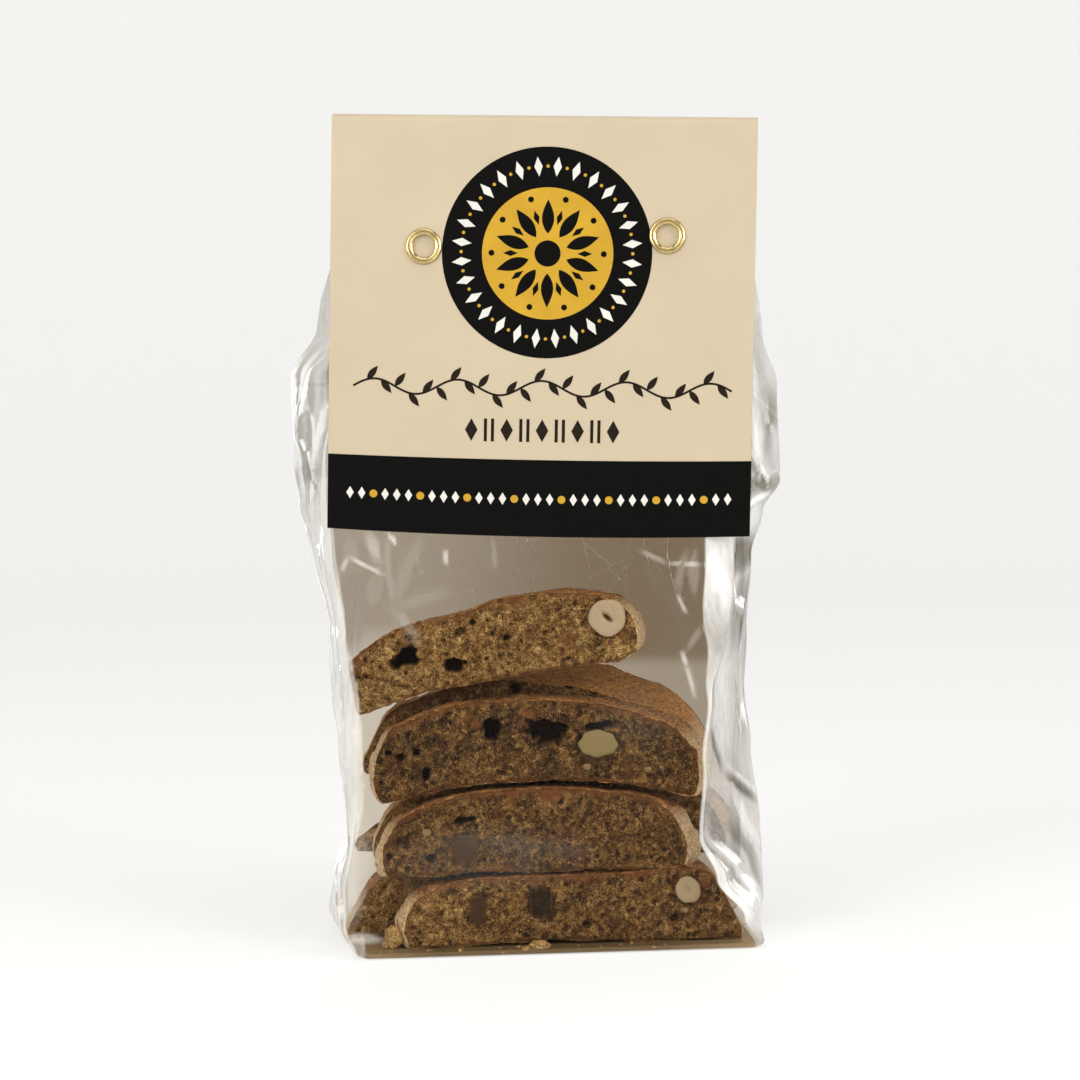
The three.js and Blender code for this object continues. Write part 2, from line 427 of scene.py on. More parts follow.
def film_material():
    """Thin clear film with a light smoky tint. It whitens where it is creased, partly as painted highlight;
    a milky veil carries painted glare, and some facets, dark creases and patches carry painted shade.
    """
    material, tree = shader("film")
    crumple = attribute(tree, "crumple")
    height, number, edge = facets(tree, **FACET)
    colour = mixed(tree, attribute(tree, "clear"), FILM_TINT["front"], FILM_TINT["gusset"])
    colour = mixed(tree, attribute(tree, "smoke"), colour, FILM_TINT["back"])
    # painted shade: some crumpled facets drawn darker
    shade = times(tree, times(tree, number, crumple), 0.22)
    colour = mixed(tree, shade, colour, FILM_TINT["facet"])
    # Crease lines: a positive mark paints a highlight along the crease, a negative one paints shade, and
    # the shade attribute adds painted shade patches.
    uneven = remap(tree, noise(tree, 4, 3, 0.6), 0.3, 0.7, -0.14, 0.14)
    line = remap(tree, plus(tree, attribute(tree, "line"), uneven), 0.95, 0.3)
    line = times(tree, line, attribute(tree, "mark"))
    dark = maths(tree, "MAXIMUM", times(tree, line, -1.0), 0.0)
    dark = plus(tree, dark, attribute(tree, "shade"), clamp=True)
    colour = mixed(tree, dark, colour, FILM_TINT["fold"])
    clear = add(tree, "BsdfTransparent", None, Color=colour)
    ripple = times(tree, noise(tree, 5, 2, 0.5, (1, 1, 0.35)), 0.0001)
    creased = remap(tree, attribute(tree, "line"), 1.6, 0.0, 0, 0.00035)
    relief = plus(tree, plus(tree, ripple, creased), times(tree, height, crumple))
    normal = add(tree, "Bump", None, Height=relief, Distance=1.0, Strength=1.0).outputs["Normal"]
    # The milky diffuse: real haze with painted glare on it; on dark creases its colour turns to painted
    # shade.
    milk_colour = mixed(tree, attribute(tree, "clear"), MILK_TINT["front"], MILK_TINT["gusset"])
    milk_colour = mixed(tree, dark, milk_colour, MILK_TINT["fold"])
    milky_and_glare_diffuse = add(tree, "BsdfDiffuse", None, Color=milk_colour)
    # The milky share: haze with painted glare, a painted sheen on some facets, painted glints along facet
    # edges and painted highlights along the creases.
    patchy = remap(tree, noise(tree, 6, 3, 0.6, (1, 1, 0.3)), 0.25, 0.75, 0.45, 1.4)
    haze = times(tree, attribute(tree, "haze"), patchy)
    broken = remap(tree, noise(tree, 7, 2, 0.6), 0.5, 0.62, 0, 0.3)
    painted_edge_glint = times(tree, remap(tree, edge, 0.3, 0.08), times(tree, broken, crumple))
    sheen = times(tree, remap(tree, number, 0.55, 1.0, 0, 0.07), crumple)
    white = maths(tree, "MAXIMUM", line, 0.0)
    milk_and_painted_glare = plus(tree, plus(tree, haze, sheen), plus(tree, white, painted_edge_glint), clamp=True)
    body = mixed_shaders(tree, milk_and_painted_glare, clear, milky_and_glare_diffuse)
    facing = add(tree, "LayerWeight", None, Blend=0.5, Normal=normal).outputs["Facing"]
    steep = maths(tree, "POWER", facing, 4.3)
    share = remap(tree, steep, 0, 1, 0.0035, 0.9)
    gloss = add(tree, "BsdfGlossy", None, Color=(1, 1, 1, 1), Roughness=0.11, Normal=normal)
    finish_shader(tree, mixed_shaders(tree, share, body, gloss).outputs[0])
    return material


def crumb_material():
    """A cut face: tan grains over dark brown, with redder, darker crumb near the crust. Each slice's tone
    and the nearly black holes are painted shade.
    """
    material, tree = shader("crumb")
    fine = remap(tree, noise(tree, 0.4, 3, 0.65), 0.3, 0.7, -0.4, 0.4)
    fine = plus(tree, fine, remap(tree, noise(tree, 1.0, 3, 0.65), 0.3, 0.7, -0.17, 0.17))
    # painted shade: each slice's tone shifts its crumb darker or lighter
    fine = plus(tree, fine, attribute(tree, "tone"))
    tone = plus(tree, attribute(tree, "grain"), fine, clamp=True)
    crumb = ramp(
        tree, tone,
        [(0.0, (0.02, 0.009, 0.003)), (0.25, (0.088, 0.044, 0.013)), (0.5, (0.23, 0.13, 0.043)),
         (0.75, (0.43, 0.28, 0.11)), (1.0, (0.72, 0.53, 0.26))],
    )
    patch = remap(tree, noise(tree, 5, 3, 0.6), 0.45, 0.75, 0, 0.35)
    crumb = mixed(tree, patch, crumb, (0.17, 0.066, 0.018))
    olive = remap(tree, noise(tree, 2.2, 2, 0.5), 0.55, 0.8, 0, 0.45)
    crumb = mixed(tree, olive, crumb, (0.27, 0.175, 0.04))
    baked = mixed(tree, noise(tree, 1.1, 3, 0.7), (0.08, 0.026, 0.009), (0.26, 0.1, 0.03))
    crumb = mixed(tree, attribute(tree, "bake"), crumb, baked)
    # painted shade: the holes drawn nearly black inside
    crumb = mixed(tree, attribute(tree, "hole"), crumb, (0.012, 0.006, 0.004))
    normal = bump(tree, noise(tree, 0.55, 4, 0.7), 0.16, 0.7)
    finish_plain(tree, crumb, 0.85, normal, 0.2)
    return material


def crust_material():
    """Baked crust: reddish brown, golden where it cracked, pale at the ends and the cuts. The pale ends and
    the golden cut rims are partly painted light, the `gold` brightening is painted light and the dark pores
    painted shade.
    """
    material, tree = shader("crust")
    broad = noise(tree, 6, 4, 0.65, (1, 1, 1.6), 0.6)
    crust = ramp(
        tree, broad,
        [(0.25, (0.085, 0.026, 0.007)), (0.42, (0.21, 0.073, 0.018)), (0.58, (0.37, 0.15, 0.038)),
         (0.75, (0.58, 0.29, 0.085))],
    )
    fine = noise(tree, 0.95, 3, 0.7)
    crust = mixed(tree, remap(tree, fine, 0.49, 0.6, 0, 0.85), crust, (0.72, 0.43, 0.15))
    # The pale ends: partly painted light from the side.
    pale = remap(tree, noise(tree, 1.0, 4, 0.75), 0.38, 0.62)
    pale = mixed(tree, pale, (0.5, 0.31, 0.145), (0.92, 0.74, 0.49))
    # painted light: `gold` brightens a slice's crust toward orange gold
    crust = mixed(tree, times(tree, attribute(tree, "gold"), fine), crust, (0.9, 0.45, 0.14))
    crust = mixed(tree, attribute(tree, "end"), crust, pale)
    # golden crumbs along the cuts, partly a painted highlight on the edges
    cut_rim_gold_and_highlight = times(tree, attribute(tree, "rim"), remap(tree, fine, 0.47, 0.58, 0, 0.85))
    crust = mixed(tree, cut_rim_gold_and_highlight, crust, (0.76, 0.5, 0.2))
    # painted shade: dark pores in the crust
    pore_shade = remap(tree, noise(tree, 0.8, 3, 0.65), 0.44, 0.34, 0, 0.85)
    crust = mixed(tree, pore_shade, crust, (0.06, 0.02, 0.007))
    relief = plus(tree, noise(tree, 1.1, 5, 0.75), noise(tree, 4, 3, 0.6))
    normal = bump(tree, relief, 0.8, 0.9)
    finish_plain(tree, crust, 0.7, normal, 0.3)
    return material


def nut_material():
    """A cut hazelnut: cream or yellow flesh, brown at its skin and in its middle slit."""
    material, tree = shader("hazelnut")
    ring, tint = attribute(tree, "ring"), attribute(tree, "tint")
    flesh = mixed(tree, tint, (0.54, 0.455, 0.33), (0.28, 0.232, 0.11))
    streak = remap(tree, noise(tree, 1.7, 4, 0.7), 0.4, 0.72, 0, 0.7)
    flesh = mixed(tree, streak, flesh, mixed(tree, tint, (0.5, 0.38, 0.22), (0.3, 0.22, 0.09)))
    slit = remap(tree, ring, 0.36, 0.12)
    flesh = mixed(tree, slit, flesh, (0.14, 0.055, 0.025))
    skin = remap(tree, ring, 0.9, 1.0, 0, 0.5)
    colour = mixed(tree, skin, flesh, (0.3, 0.19, 0.09))
    normal = bump(tree, noise(tree, 1.5, 4, 0.7), 0.45, 0.8)
    finish_plain(tree, colour, 0.6, normal, 0.25)
    return material


def fruit_material():
    """Dried fruit: dark, smooth and a little sticky."""
    material, tree = shader("dried_fruit")
    shade = noise(tree, 3, 3, 0.6)
    dark = mixed(tree, shade, (0.008, 0.0045, 0.0015), (0.036, 0.021, 0.008))
    brown = mixed(tree, shade, (0.024, 0.0115, 0.005), (0.105, 0.056, 0.024))
    colour = mixed(tree, attribute(tree, "tint"), dark, brown)
    ragged = remap(tree, noise(tree, 1.1, 3, 0.65), 0.3, 0.7, -0.2, 0.2)
    border = remap(tree, plus(tree, attribute(tree, "ring"), ragged), 0.66, 1.04, 0, 0.85)
    colour = mixed(tree, border, colour, (0.125, 0.068, 0.025))
    normal = bump(tree, noise(tree, 1.8, 4, 0.6), 0.5, 0.7)
    finish_plain(tree, colour, 0.6, normal, 0.15)
    return material


def base_material():
    """The base card's laminated gold-brown board, lighter towards its ends as painted light."""
    material, tree = shader("base_card")
    fibre = noise(tree, 3, 4, 0.6, (0.2, 1, 1))
    colour = mixed(tree, fibre, (0.135, 0.092, 0.043), (0.22, 0.158, 0.08))
    # painted light: the board drawn lighter towards its ends
    across = add(tree, "SeparateXYZ", None, Vector=here(tree)).outputs["X"]
    lit = remap(tree, maths(tree, "ABSOLUTE", across, 0.0), 0.028, 0.05)
    colour = mixed(tree, lit, colour, (0.37, 0.275, 0.15))
    normal = bump(tree, noise(tree, 0.7, 3, 0.6), 0.05, 0.5)
    finish_plain(tree, colour, 0.42, normal)
    return material


CARD_CREAM = (0.525, 0.437, 0.303)
REAR_BAND = {"top": 27, "from_front": 1.5}  # up the card, and behind its front face
INK = {
    "black": (0.0022, 0.002, 0.0017),
    "gold": (0.53, 0.31, 0.03),
    "white": (0.68, 0.66, 0.6),
    "brown": (0.016, 0.0105, 0.0065),
}


def card_axis(tree, row):
    """One of the header card's own coordinates, in metres: 1 its depth, 2 its height."""
    *along, offset = card_to_pack.inverted()[row]
    distance = vector_maths(tree, "DOT_PRODUCT", here(tree), along)["Value"]
    return plus(tree, distance, offset * MM - Vector(along).dot(AXIS))


def card_material(rear_band=True):
    """Smooth printed card: cream, with a black band along the rear panel's lower edge."""
    material, tree = shader("header_card")
    mottle = remap(tree, noise(tree, 16, 3, 0.5), 0.3, 0.7, 0.97, 1.03)
    shade = add(tree, "HueSaturation", None, Value=mottle, Color=(*CARD_CREAM, 1)).outputs[0]
    fibre = noise(tree, 0.6, 4, 0.7)
    normal = bump(tree, fibre, 0.03, 0.4)
    surface = add(tree, "BsdfPrincipled", None, Base_Color=shade, Roughness=0.5, Normal=normal)
    surface.inputs["Specular IOR Level"].default_value = 0.2
    if rear_band:
        low = maths(tree, "LESS_THAN", card_axis(tree, 2), REAR_BAND["top"] * MM)
        rear = maths(tree, "GREATER_THAN", card_axis(tree, 1), (CARD_FRONT + REAR_BAND["from_front"]) * MM)
        band = times(tree, low, rear)
        tree.links.new(mixed(tree, band, shade, INK["black"]), surface.inputs["Base Color"])
    finish_shader(tree, surface.outputs[0])
    return material


def ink_material(key, rough=0.5):
    material, tree = shader("ink_" + key)
    worn = remap(tree, noise(tree, 9, 4, 0.6), 0.2, 0.8, 0.88, 1.12)
    tone = add(tree, "HueSaturation", None, Value=worn, Color=(*INK[key], 1)).outputs[0]
    normal = bump(tree, noise(tree, 0.6, 4, 0.7), 0.02, 0.4)
    finish_plain(tree, tone, rough, normal, 0.06)
    return material


def brass_material():
    material, tree = shader("eyelet")
    tarnish = noise(tree, 2.5, 4, 0.6)
    colour = mixed(tree, tarnish, (0.42, 0.31, 0.12), (0.74, 0.61, 0.33))
    normal = bump(tree, noise(tree, 0.9, 3, 0.6), 0.03, 0.4)
    rough = remap(tree, tarnish, 0.3, 0.7, 0.13, 0.22)
    finish_plain(tree, colour, rough, normal, metallic=1.0)
    return material


# ---- Camera, light and floor --------------------------------------------------------

VIEW = {"aim": (-1.27, 0, 102.9), "azimuth": 4.0, "pitch": 3.5, "roll": -0.91, "distance": 750.0}
LENS = 96.2
CLIP = (0.05, 50)  # nearest and farthest seen, in metres


def stand(name, data, place, turn):
    """Adds a camera or a lamp at a place in the frame's metres."""
    holder = add_object(name, data)
    holder.location = place
    holder.rotation_mode = "QUATERNION"
    holder.rotation_quaternion = turn
    return holder


def add_camera():
    azimuth, pitch = math.radians(VIEW["azimuth"]), math.radians(VIEW["pitch"])
    forward = Vector(
        (math.sin(azimuth) * math.cos(pitch), math.cos(azimuth) * math.cos(pitch), -math.sin(pitch))
    )
    camera = bpy.data.cameras.new("camera")
    camera.lens = LENS
    camera.clip_start, camera.clip_end = CLIP
    place = Vector(to_frame([VIEW["aim"]])[0]) - forward * VIEW["distance"] * MM
    roll = Quaternion((0, 0, 1), math.radians(VIEW["roll"]))
    turn = forward.to_track_quat("-Z", "Y") @ roll
    bpy.context.scene.camera = stand("camera", camera, place, turn)


LIGHT_AIM = (0, 0, 0.1)
WORLD_LIGHT = 0.26
LIGHTS = {  # place, width and height, and watts
    "front_left": ((-0.95, -0.95, 0.75), (0.6, 0.8), 7.9),
    "front_right": ((1.0, -0.9, 0.7), (0.6, 0.8), 7.6),
    "top": ((0.0, -0.5, 1.5), (1.2, 0.6), 6.6),
}
GLOSS_LIGHTS = {  # seen only as highlights
    "side_right": ((0.9, -0.4, 0.2), (0.8, 0.9), 14),
    "side_left": ((-0.95, -0.3, 0.2), (0.5, 0.9), 9),
    "rear_left": ((-0.44, 0.9, 0.3), (0.3, 0.9), 3),
    "rear_right": ((0.62, 0.85, 0.3), (0.4, 0.9), 2.6),
}


def add_light(name, place, size, watts, gloss_only=False):
    """A soft white rectangular light in the frame's metres. It isn't seen itself."""
    lamp = bpy.data.lights.new(name, "AREA")
    lamp.shape = "RECTANGLE"
    lamp.size, lamp.size_y = size
    lamp.energy = watts
    turn = (Vector(LIGHT_AIM) - Vector(place)).to_track_quat("-Z", "Y")
    holder = stand(name, lamp, place, turn)
    holder.visible_camera = False
    holder.visible_diffuse = not gloss_only


BACKDROP = {"rings": (0.3, 0.7), "flat": 1.1, "bend": 0.9, "wall": 1.6}  # in metres


def add_backdrop():
    """A pale round studio floor that curves up into a wall on all sides."""
    profile = [(r, 0.0) for r in (*BACKDROP["rings"], BACKDROP["flat"])]
    steps = 14
    for i in range(1, steps + 1):
        angle = math.pi / 2 * i / steps
        profile.append(
            (BACKDROP["flat"] + BACKDROP["bend"] * math.sin(angle),
             BACKDROP["bend"] * (1 - math.cos(angle)))
        )
    profile.append((BACKDROP["flat"] + BACKDROP["bend"], BACKDROP["wall"]))
    sides = 96
    points = [(x / MM, y / MM, z / MM) for r, z in profile for x, y in disc((0, 0), r, sides)]
    points.append((0, 0, 0))
    faces = grid_faces(len(profile), sides)[:, ::-1].tolist()
    faces += [[len(points) - 1, k, (k + 1) % sides] for k in range(sides)]
    material, tree = shader("studio_floor")
    diffuse = add(tree, "BsdfDiffuse", None, Color=(0.5, 0.497, 0.49, 1))
    glow = add(tree, "Emission", None, Color=(0.5, 0.498, 0.49, 1), Strength=1.0)
    both = add(tree, "AddShader")
    set_inputs(tree, both, {0: diffuse.outputs[0], 1: glow.outputs[0]})
    finish_shader(tree, both.outputs[0])
    build("studio_floor", points, faces, [material])


def set_up_studio():
    scene = bpy.context.scene
    scene.view_settings.view_transform = "Standard"
    scene.view_settings.look = "None"
    scene.view_settings.exposure = 0
    scene.view_settings.gamma = 1
    world = bpy.data.worlds.new("studio")
    world.use_nodes = True
    background = world.node_tree.nodes["Background"]
    background.inputs["Color"].default_value = (1, 1, 1, 1)
    background.inputs["Strength"].default_value = WORLD_LIGHT
    scene.world = world
    for name, light in {**LIGHTS, **GLOSS_LIGHTS}.items():
        add_light(name, *light, gloss_only=name in GLOSS_LIGHTS)


# ---- Biscotti -----------------------------------------------------------------------

# Each slice lies on its flat side with a cut face to the front. `at` is the lower left
# corner of that face. `flat` and `top` give the heights of the flat side and of the top
# along the slice, `tuck` how far the ends round in: left low, left high, right low, right
# high. `slant` is how far the rear face is shifted to the right, because the loaf was cut
# at an angle. `drop` lowers the top's rear edge, `rise` lowers its front edge along the
# length, `ends` swells the left and right ends, `tone` is painted shade: how much lighter
# the crumb is drawn at the left and further right, and `gold` is painted light: how much
# brighter and more golden the crust is drawn. What shows in the cut face is given by its
# place on it: `holes` as across, up, half sizes, turn and depth, `nuts` as across, up, half
# sizes, turn, slit and tint, `fruit` as across, up, sizes, turn and tint, `bits` of nut as
# across, up and radius, and `red` crumb likewise. PLAIN is a slice with nothing of these.
PLAIN = {
    "tilt": 0.0, "turn": 0.0, "drop": 0.0, "rise": None, "ends": (1.0, 1.0), "gold": 0.0,
    "tone": (-0.01, -0.01), "holes": [], "nuts": [], "fruit": [], "bits": [], "red": [],
}
SLICES = {
    "biscotti_front_1": {
        "at": (-50.0, -15.6, 61.2), "length": 73.8, "thick": 16.5, "tilt": 9.6, "turn": -6.2,
        "flat": [(0, -1.2), (0.05, -1.0), (0.11, -0.1), (0.17, 0.8), (0.27, 1.4), (0.5, 1.6),
                 (0.85, 1.3), (0.97, 1.2), (1, 2.2)],
        "top": [(0, 12.2), (0.02, 13.2), (0.07, 15.2), (0.15, 17.5), (0.24, 18.9), (0.36, 19.3),
                (0.43, 19.5), (0.5, 20.6), (0.56, 21.2), (0.64, 21.2), (0.78, 20.4), (0.9, 17.9),
                (0.97, 15.0), (1, 12)],
        "tuck": (0.6, 0.6, 2.2, 1.0), "slant": 1.6, "drop": 0.9, "tone": (0.0, 0.0),
        "holes": [(14.5, 10.8, 3.5, 2.4, 0.15, 5.0), (27.2, 6.8, 2.6, 1.6, -0.1, 3.5),
                  (41.0, 11.6, 0.9, 0.8, 0, 1.6), (33.4, 17.0, 1.0, 0.8, 0.4, 1.5),
                  (17.0, 16.0, 1.5, 0.8, 0.3, 1.0), (30.0, 15.2, 1.3, 1.1, 0.2, 1.2)],
        "nuts": [(67.2, 12.0, 4.8, 4.8, 0.7, 1.0, 0.0)],
        "bits": [(58.9, 6.9, 0.9), (63.7, 4.6, 0.7)],
        "red": [(55.7, 8.0, 3.8), (3.3, 12.2, 2.0), (45.2, 19.4, 1.8), (70.4, 7.2, 2.4)],
    },
    "biscotti_front_2": {
        "at": (-45.6, -21.5, 38.4), "length": 82.4, "thick": 18.0, "turn": -0.5,
        "flat": [(0, 0), (0.1, 1.4), (0.25, 3.6), (0.5, 4.6), (0.75, 3.5), (0.9, 1.4), (1, 0)],
        "top": [(0, 12.4), (0.03, 17.2), (0.09, 20.1), (0.2, 23.5), (0.36, 25.1), (0.52, 25.3),
                (0.66, 24.2), (0.76, 22.6), (0.85, 20.3), (0.94, 16.8), (1, 11.5)],
        "tuck": (2.6, 1.2, 1.8, 1.0), "slant": 5.5, "drop": 0.8, "ends": (3.6, 1.0),
        "tone": (-0.25, -0.23),
        "holes": [(29.9, 17.6, 2.3, 2.8, 0, 5.0), (44.1, 17.0, 4.8, 2.9, -0.1, 6.0),
                  (57.4, 18.3, 3.4, 0.9, 0.1, 3.0), (3.5, 12.5, 1.0, 0.9, 0, 1.8),
                  (6.5, 11.4, 1.1, 0.9, 0.3, 1.8), (10.6, 12.6, 0.9, 0.9, 0, 1.8),
                  (13.2, 6.7, 1.2, 1.7, 0, 2.2)],
        "nuts": [(56.8, 13.7, 5.0, 3.5, -0.05, 0.0, 1.0)],
        "bits": [(53.9, 7.9, 1.0), (69.4, 6.9, 0.9)],
        "red": [(24.8, 20.6, 2.5), (38.8, 22.2, 2.0), (1.6, 6.4, 1.8)],
    },
    "biscotti_front_3": {
        "at": (-44.0, -23.0, 19.4), "length": 77.4, "thick": 17.5, "turn": -0.5,
        "flat": [(0, 0), (0.2, 0.5), (0.5, 0.7), (0.8, 0.5), (1, 0)],
        "top": [(0, 8.2), (0.025, 12.0), (0.075, 15.6), (0.15, 18.2), (0.24, 20.3), (0.4, 21.5),
                (0.55, 21.8), (0.72, 20.9), (0.84, 19.6), (0.93, 17.0), (0.98, 13.2), (1, 9.6)],
        "tuck": (1.8, 0.9, 2.6, 1.6), "slant": 4.5, "drop": 1.6, "ends": (3.8, 2.0), "tone": (-0.2, -0.2),
        "holes": [(21.0, 14.2, 3.2, 0.9, 0.1, 2.0), (12.2, 4.7, 1.1, 1.0, 0, 2.0),
                  (1.6, 5.6, 0.8, 0.9, 0, 1.6), (5.2, 8.9, 2.0, 1.3, 0.3, 1.0)],
        "fruit": [(20.9, 6.8, 7.4, 7.8, 0.06, 1.0)],
        "bits": [(11.3, 11.4, 1.2)],
        "red": [(14.8, 18.6, 3.0), (42.8, 20.0, 3.2), (32.8, 20.0, 2.6)],
    },
    "biscotti_front_4": {
        "at": (-38.5, -24.5, 1.5), "length": 85.7, "thick": 17.5,
        "flat": [(0, 0), (0.12, 0.1), (0.3, 0.9), (0.5, 0.8), (0.7, 0.2), (1, 0)],
        "top": [(0, 8.8), (0.025, 12.1), (0.07, 14.6), (0.155, 16.4), (0.25, 17.3), (0.42, 17.6),
                (0.6, 17.7), (0.74, 18.4), (0.86, 18.7), (0.92, 16.2), (0.96, 10.2), (1, 3.6)],
        "tuck": (1.5, 1.0, 0.6, 0.4), "slant": 1.5, "drop": 1.6, "ends": (3.4, 0.3), "tone": (-0.01, -0.15),
        "holes": [(45.7, 5.0, 0.8, 0.7, 0, 1.2), (68.2, 5.8, 1.0, 0.8, 0.5, 1.4)],
        "nuts": [(71.9, 13.0, 3.2, 3.6, 0.5, 0.3, 0.4)],
        "fruit": [(34.3, 10.6, 6.6, 9.4, 0.04, 0.0), (18.3, 9.2, 4.6, 8.0, -0.05, 0.8)],
        "bits": [(71.0, 7.8, 0.9)],
        "red": [(76.7, 14.5, 2.2)],
    },
    "biscotti_middle_1": {
        "at": (-48.2, -3.0, 43.4), "length": 89.5, "thick": 16.5, "turn": 0.5,
        "gold": 0.9, "rise": [(0, 0), (0.4, 0.3), (0.55, 4.0), (0.75, 6.0), (0.9, 5.0), (1, 1.0)],
        "flat": [(0, 0), (0.5, 2.0), (1, 0)],
        "top": [(0, 4.5), (0.05, 13.5), (0.16, 18.6), (0.28, 21.6), (0.4, 24.0), (0.51, 25.4),
                (0.61, 26.0), (0.69, 25.2), (0.8, 21.7), (0.92, 16.2), (0.98, 9.6), (1, 6)],
        "tuck": (1.5, 0.8, 1.5, 0.8), "slant": 3.0,
        "holes": [(54.0, 22.0, 1.6, 1.4, 0, 3.0), (40.0, 21.0, 1.4, 1.2, 0, 2.4)],
        "red": [(70.0, 21.0, 6.0)],
    },
    "biscotti_middle_2": {
        "at": (-45.9, -4.4, 20.0), "length": 91.5, "thick": 17.0, "turn": 1.0,
        "flat": [(0, 0), (0.5, 1.0), (1, 0)],
        "top": [(0, 7), (0.03, 12.6), (0.08, 16.2), (0.2, 20.4), (0.4, 22.8), (0.6, 23.0),
                (0.8, 20.8), (0.92, 16.4), (0.98, 11), (1, 7)],
        "tuck": (1.6, 0.8, 1.6, 0.8), "slant": 2.0,
        "red": [(2.5, 8.0, 3.0)],
    },
    "biscotti_middle_3": {
        "at": (-52.8, -9.4, 1.5), "length": 90.5, "thick": 16.5, "turn": 5.0,
        "flat": [(0, 0), (0.5, 0.6), (1, 0)],
        "top": [(0, 3.2), (0.02, 6.6), (0.055, 12.2), (0.11, 16.0), (0.24, 17.4), (0.5, 18.1),
                (0.76, 17.4), (0.9, 14.4), (0.97, 9), (1, 5)],
        "tuck": (0.6, 0.4, 1.5, 0.8), "slant": 2.0,
    },
    "biscotti_rear_1": {
        "at": (-43.0, 14.2, 41.0), "length": 84.0, "thick": 14.6, "turn": -0.5,
        "flat": [(0, 0), (0.5, 1.4), (1, 0)],
        "top": [(0, 6), (0.04, 11), (0.14, 16), (0.35, 20.2), (0.6, 20.6), (0.8, 18.0),
                (0.93, 13.0), (1, 6)],
        "tuck": (1.4, 0.8, 1.4, 0.8), "slant": 2.0,
    },
    "biscotti_rear_2": {
        "at": (-50.6, 13.6, 20.2), "length": 97.5, "thick": 15.0,
        "flat": [(0, 0), (0.5, 0.8), (1, 0)],
        "top": [(0, 3.4), (0.03, 5.6), (0.1, 9.0), (0.2, 14.4), (0.32, 18.8), (0.5, 20.4), (0.75, 19.2),
                (0.9, 15.4), (0.97, 11.0), (1, 7)],
        "tuck": (1.8, 1.0, 1.6, 1.0), "slant": 5.0, "tone": (0.2, 0.0),
    },
    "biscotti_rear_3": {
        "at": (-44.0, 13.4, 1.5), "length": 90.0, "thick": 15.4,
        "flat": [(0, 0), (0.5, 0.5), (1, 0)],
        "top": [(0, 6), (0.03, 10), (0.1, 14.6), (0.25, 17.2), (0.5, 18.2), (0.75, 17.4),
                (0.9, 14.0), (0.97, 10.0), (1, 6)],
        "tuck": (1.4, 0.8, 1.4, 0.8), "slant": 2.0,
    },
}
SLICES = {name: {**PLAIN, **spec} for name, spec in SLICES.items()}

STEP = {"front": 0.30, "other": 0.55, "depth": 0.75}  # size of a slice's mesh
TOP_SWELL = 0.2  # how far the top crust stands out between the two cuts


def rounded(t):
    """A quarter circle's drop, from 0 to 1."""
    return 1 - np.sqrt(np.clip(1 - t * t, 0, 1))


def box_surface(n, m, k):
    """The points of a divided box's surface as shares of its length, height and depth,
    its faces, and each face's side: 0 front, 1 rear, 2 around."""
    i, j, l = np.meshgrid(np.arange(n + 1), np.arange(m + 1), np.arange(k + 1), indexing="ij")
    skin = (i == 0) | (i == n) | (j == 0) | (j == m) | (l == 0) | (l == k)
    number = np.full(skin.shape, -1)
    number[skin] = np.arange(skin.sum())
    shares = np.stack([i[skin] / n, j[skin] / m, l[skin] / k], 1)

    def side(block, flip):
        a, b, c, d = block[:-1, :-1], block[1:, :-1], block[1:, 1:], block[:-1, 1:]
        order = (a, d, c, b) if flip else (a, b, c, d)
        return np.stack([x.ravel() for x in order], 1)

    parts = [
        (side(number[:, :, 0], False), 0), (side(number[:, :, -1], True), 1),
        (side(number[:, 0, :], True), 2), (side(number[:, -1, :], False), 2),
        (side(number[0, :, :], False), 2), (side(number[-1, :, :], True), 2),
    ]
    faces = np.concatenate([p for p, _ in parts])
    sides = np.concatenate([np.full(len(p), s) for p, s in parts])
    return shares, faces, sides


def inside_spot(x, z, spot, seed, square=2.6, ragged=0.2):
    """How deep inside a rounded spot of a cut face each point is: 0 outside, 1 well in."""
    cx, cz, half_x, half_z, turn = spot
    cos, sin = math.cos(turn), math.sin(turn)
    dx, dz = x - cx, z - cz
    across, up = (dx * cos + dz * sin) / half_x, (dz * cos - dx * sin) / half_z
    away = (np.abs(across) ** square + np.abs(up) ** square) ** (1 / square)
    spots = np.stack([x.ravel(), z.ravel()], 1)
    edge = soft_noise(spots, 2.2, seed) + 0.7 * soft_noise(spots, 0.9, seed + 1)
    return smooth(away + ragged * edge.reshape(x.shape), 1.1, 0.8)


def crumb_relief(x, z, seed):
    """Depth of the cut face below its plane, and the lightness of its grains, darker in the hollows, pits
    and pocks, partly as painted shade.
    """
    spots = np.stack([x, z], 1)
    coarse, middle, fine = (even_noise(spots, size, seed + k) for k, size in enumerate((3.4, 1.7, 0.95)))
    vein = 1 - 2.2 * np.abs(even_noise(spots, 1.5, seed + 5))
    far, _, mark = scattered(spots, 2.6, seed + 20)
    pit = smooth(far, 0.4 * mark, 0.02) * (mark > 0.72)
    near, _, mark = scattered(spots, 1.25, seed + 40)
    pock = smooth(near, 0.4, 0.0) * (mark > 0.6)
    height = 0.45 * middle + 0.35 * fine + 0.2 * vein
    depth = 0.3 - 0.3 * height + 0.6 * pit + 0.2 * pock + 0.2 * (coarse + 1)
    grain = 0.46 + 0.06 * coarse + 0.11 * middle + 0.17 * fine + 0.08 * (vein - 0.2)
    grain -= 0.42 * pit + 0.2 * pock
    return depth, grain


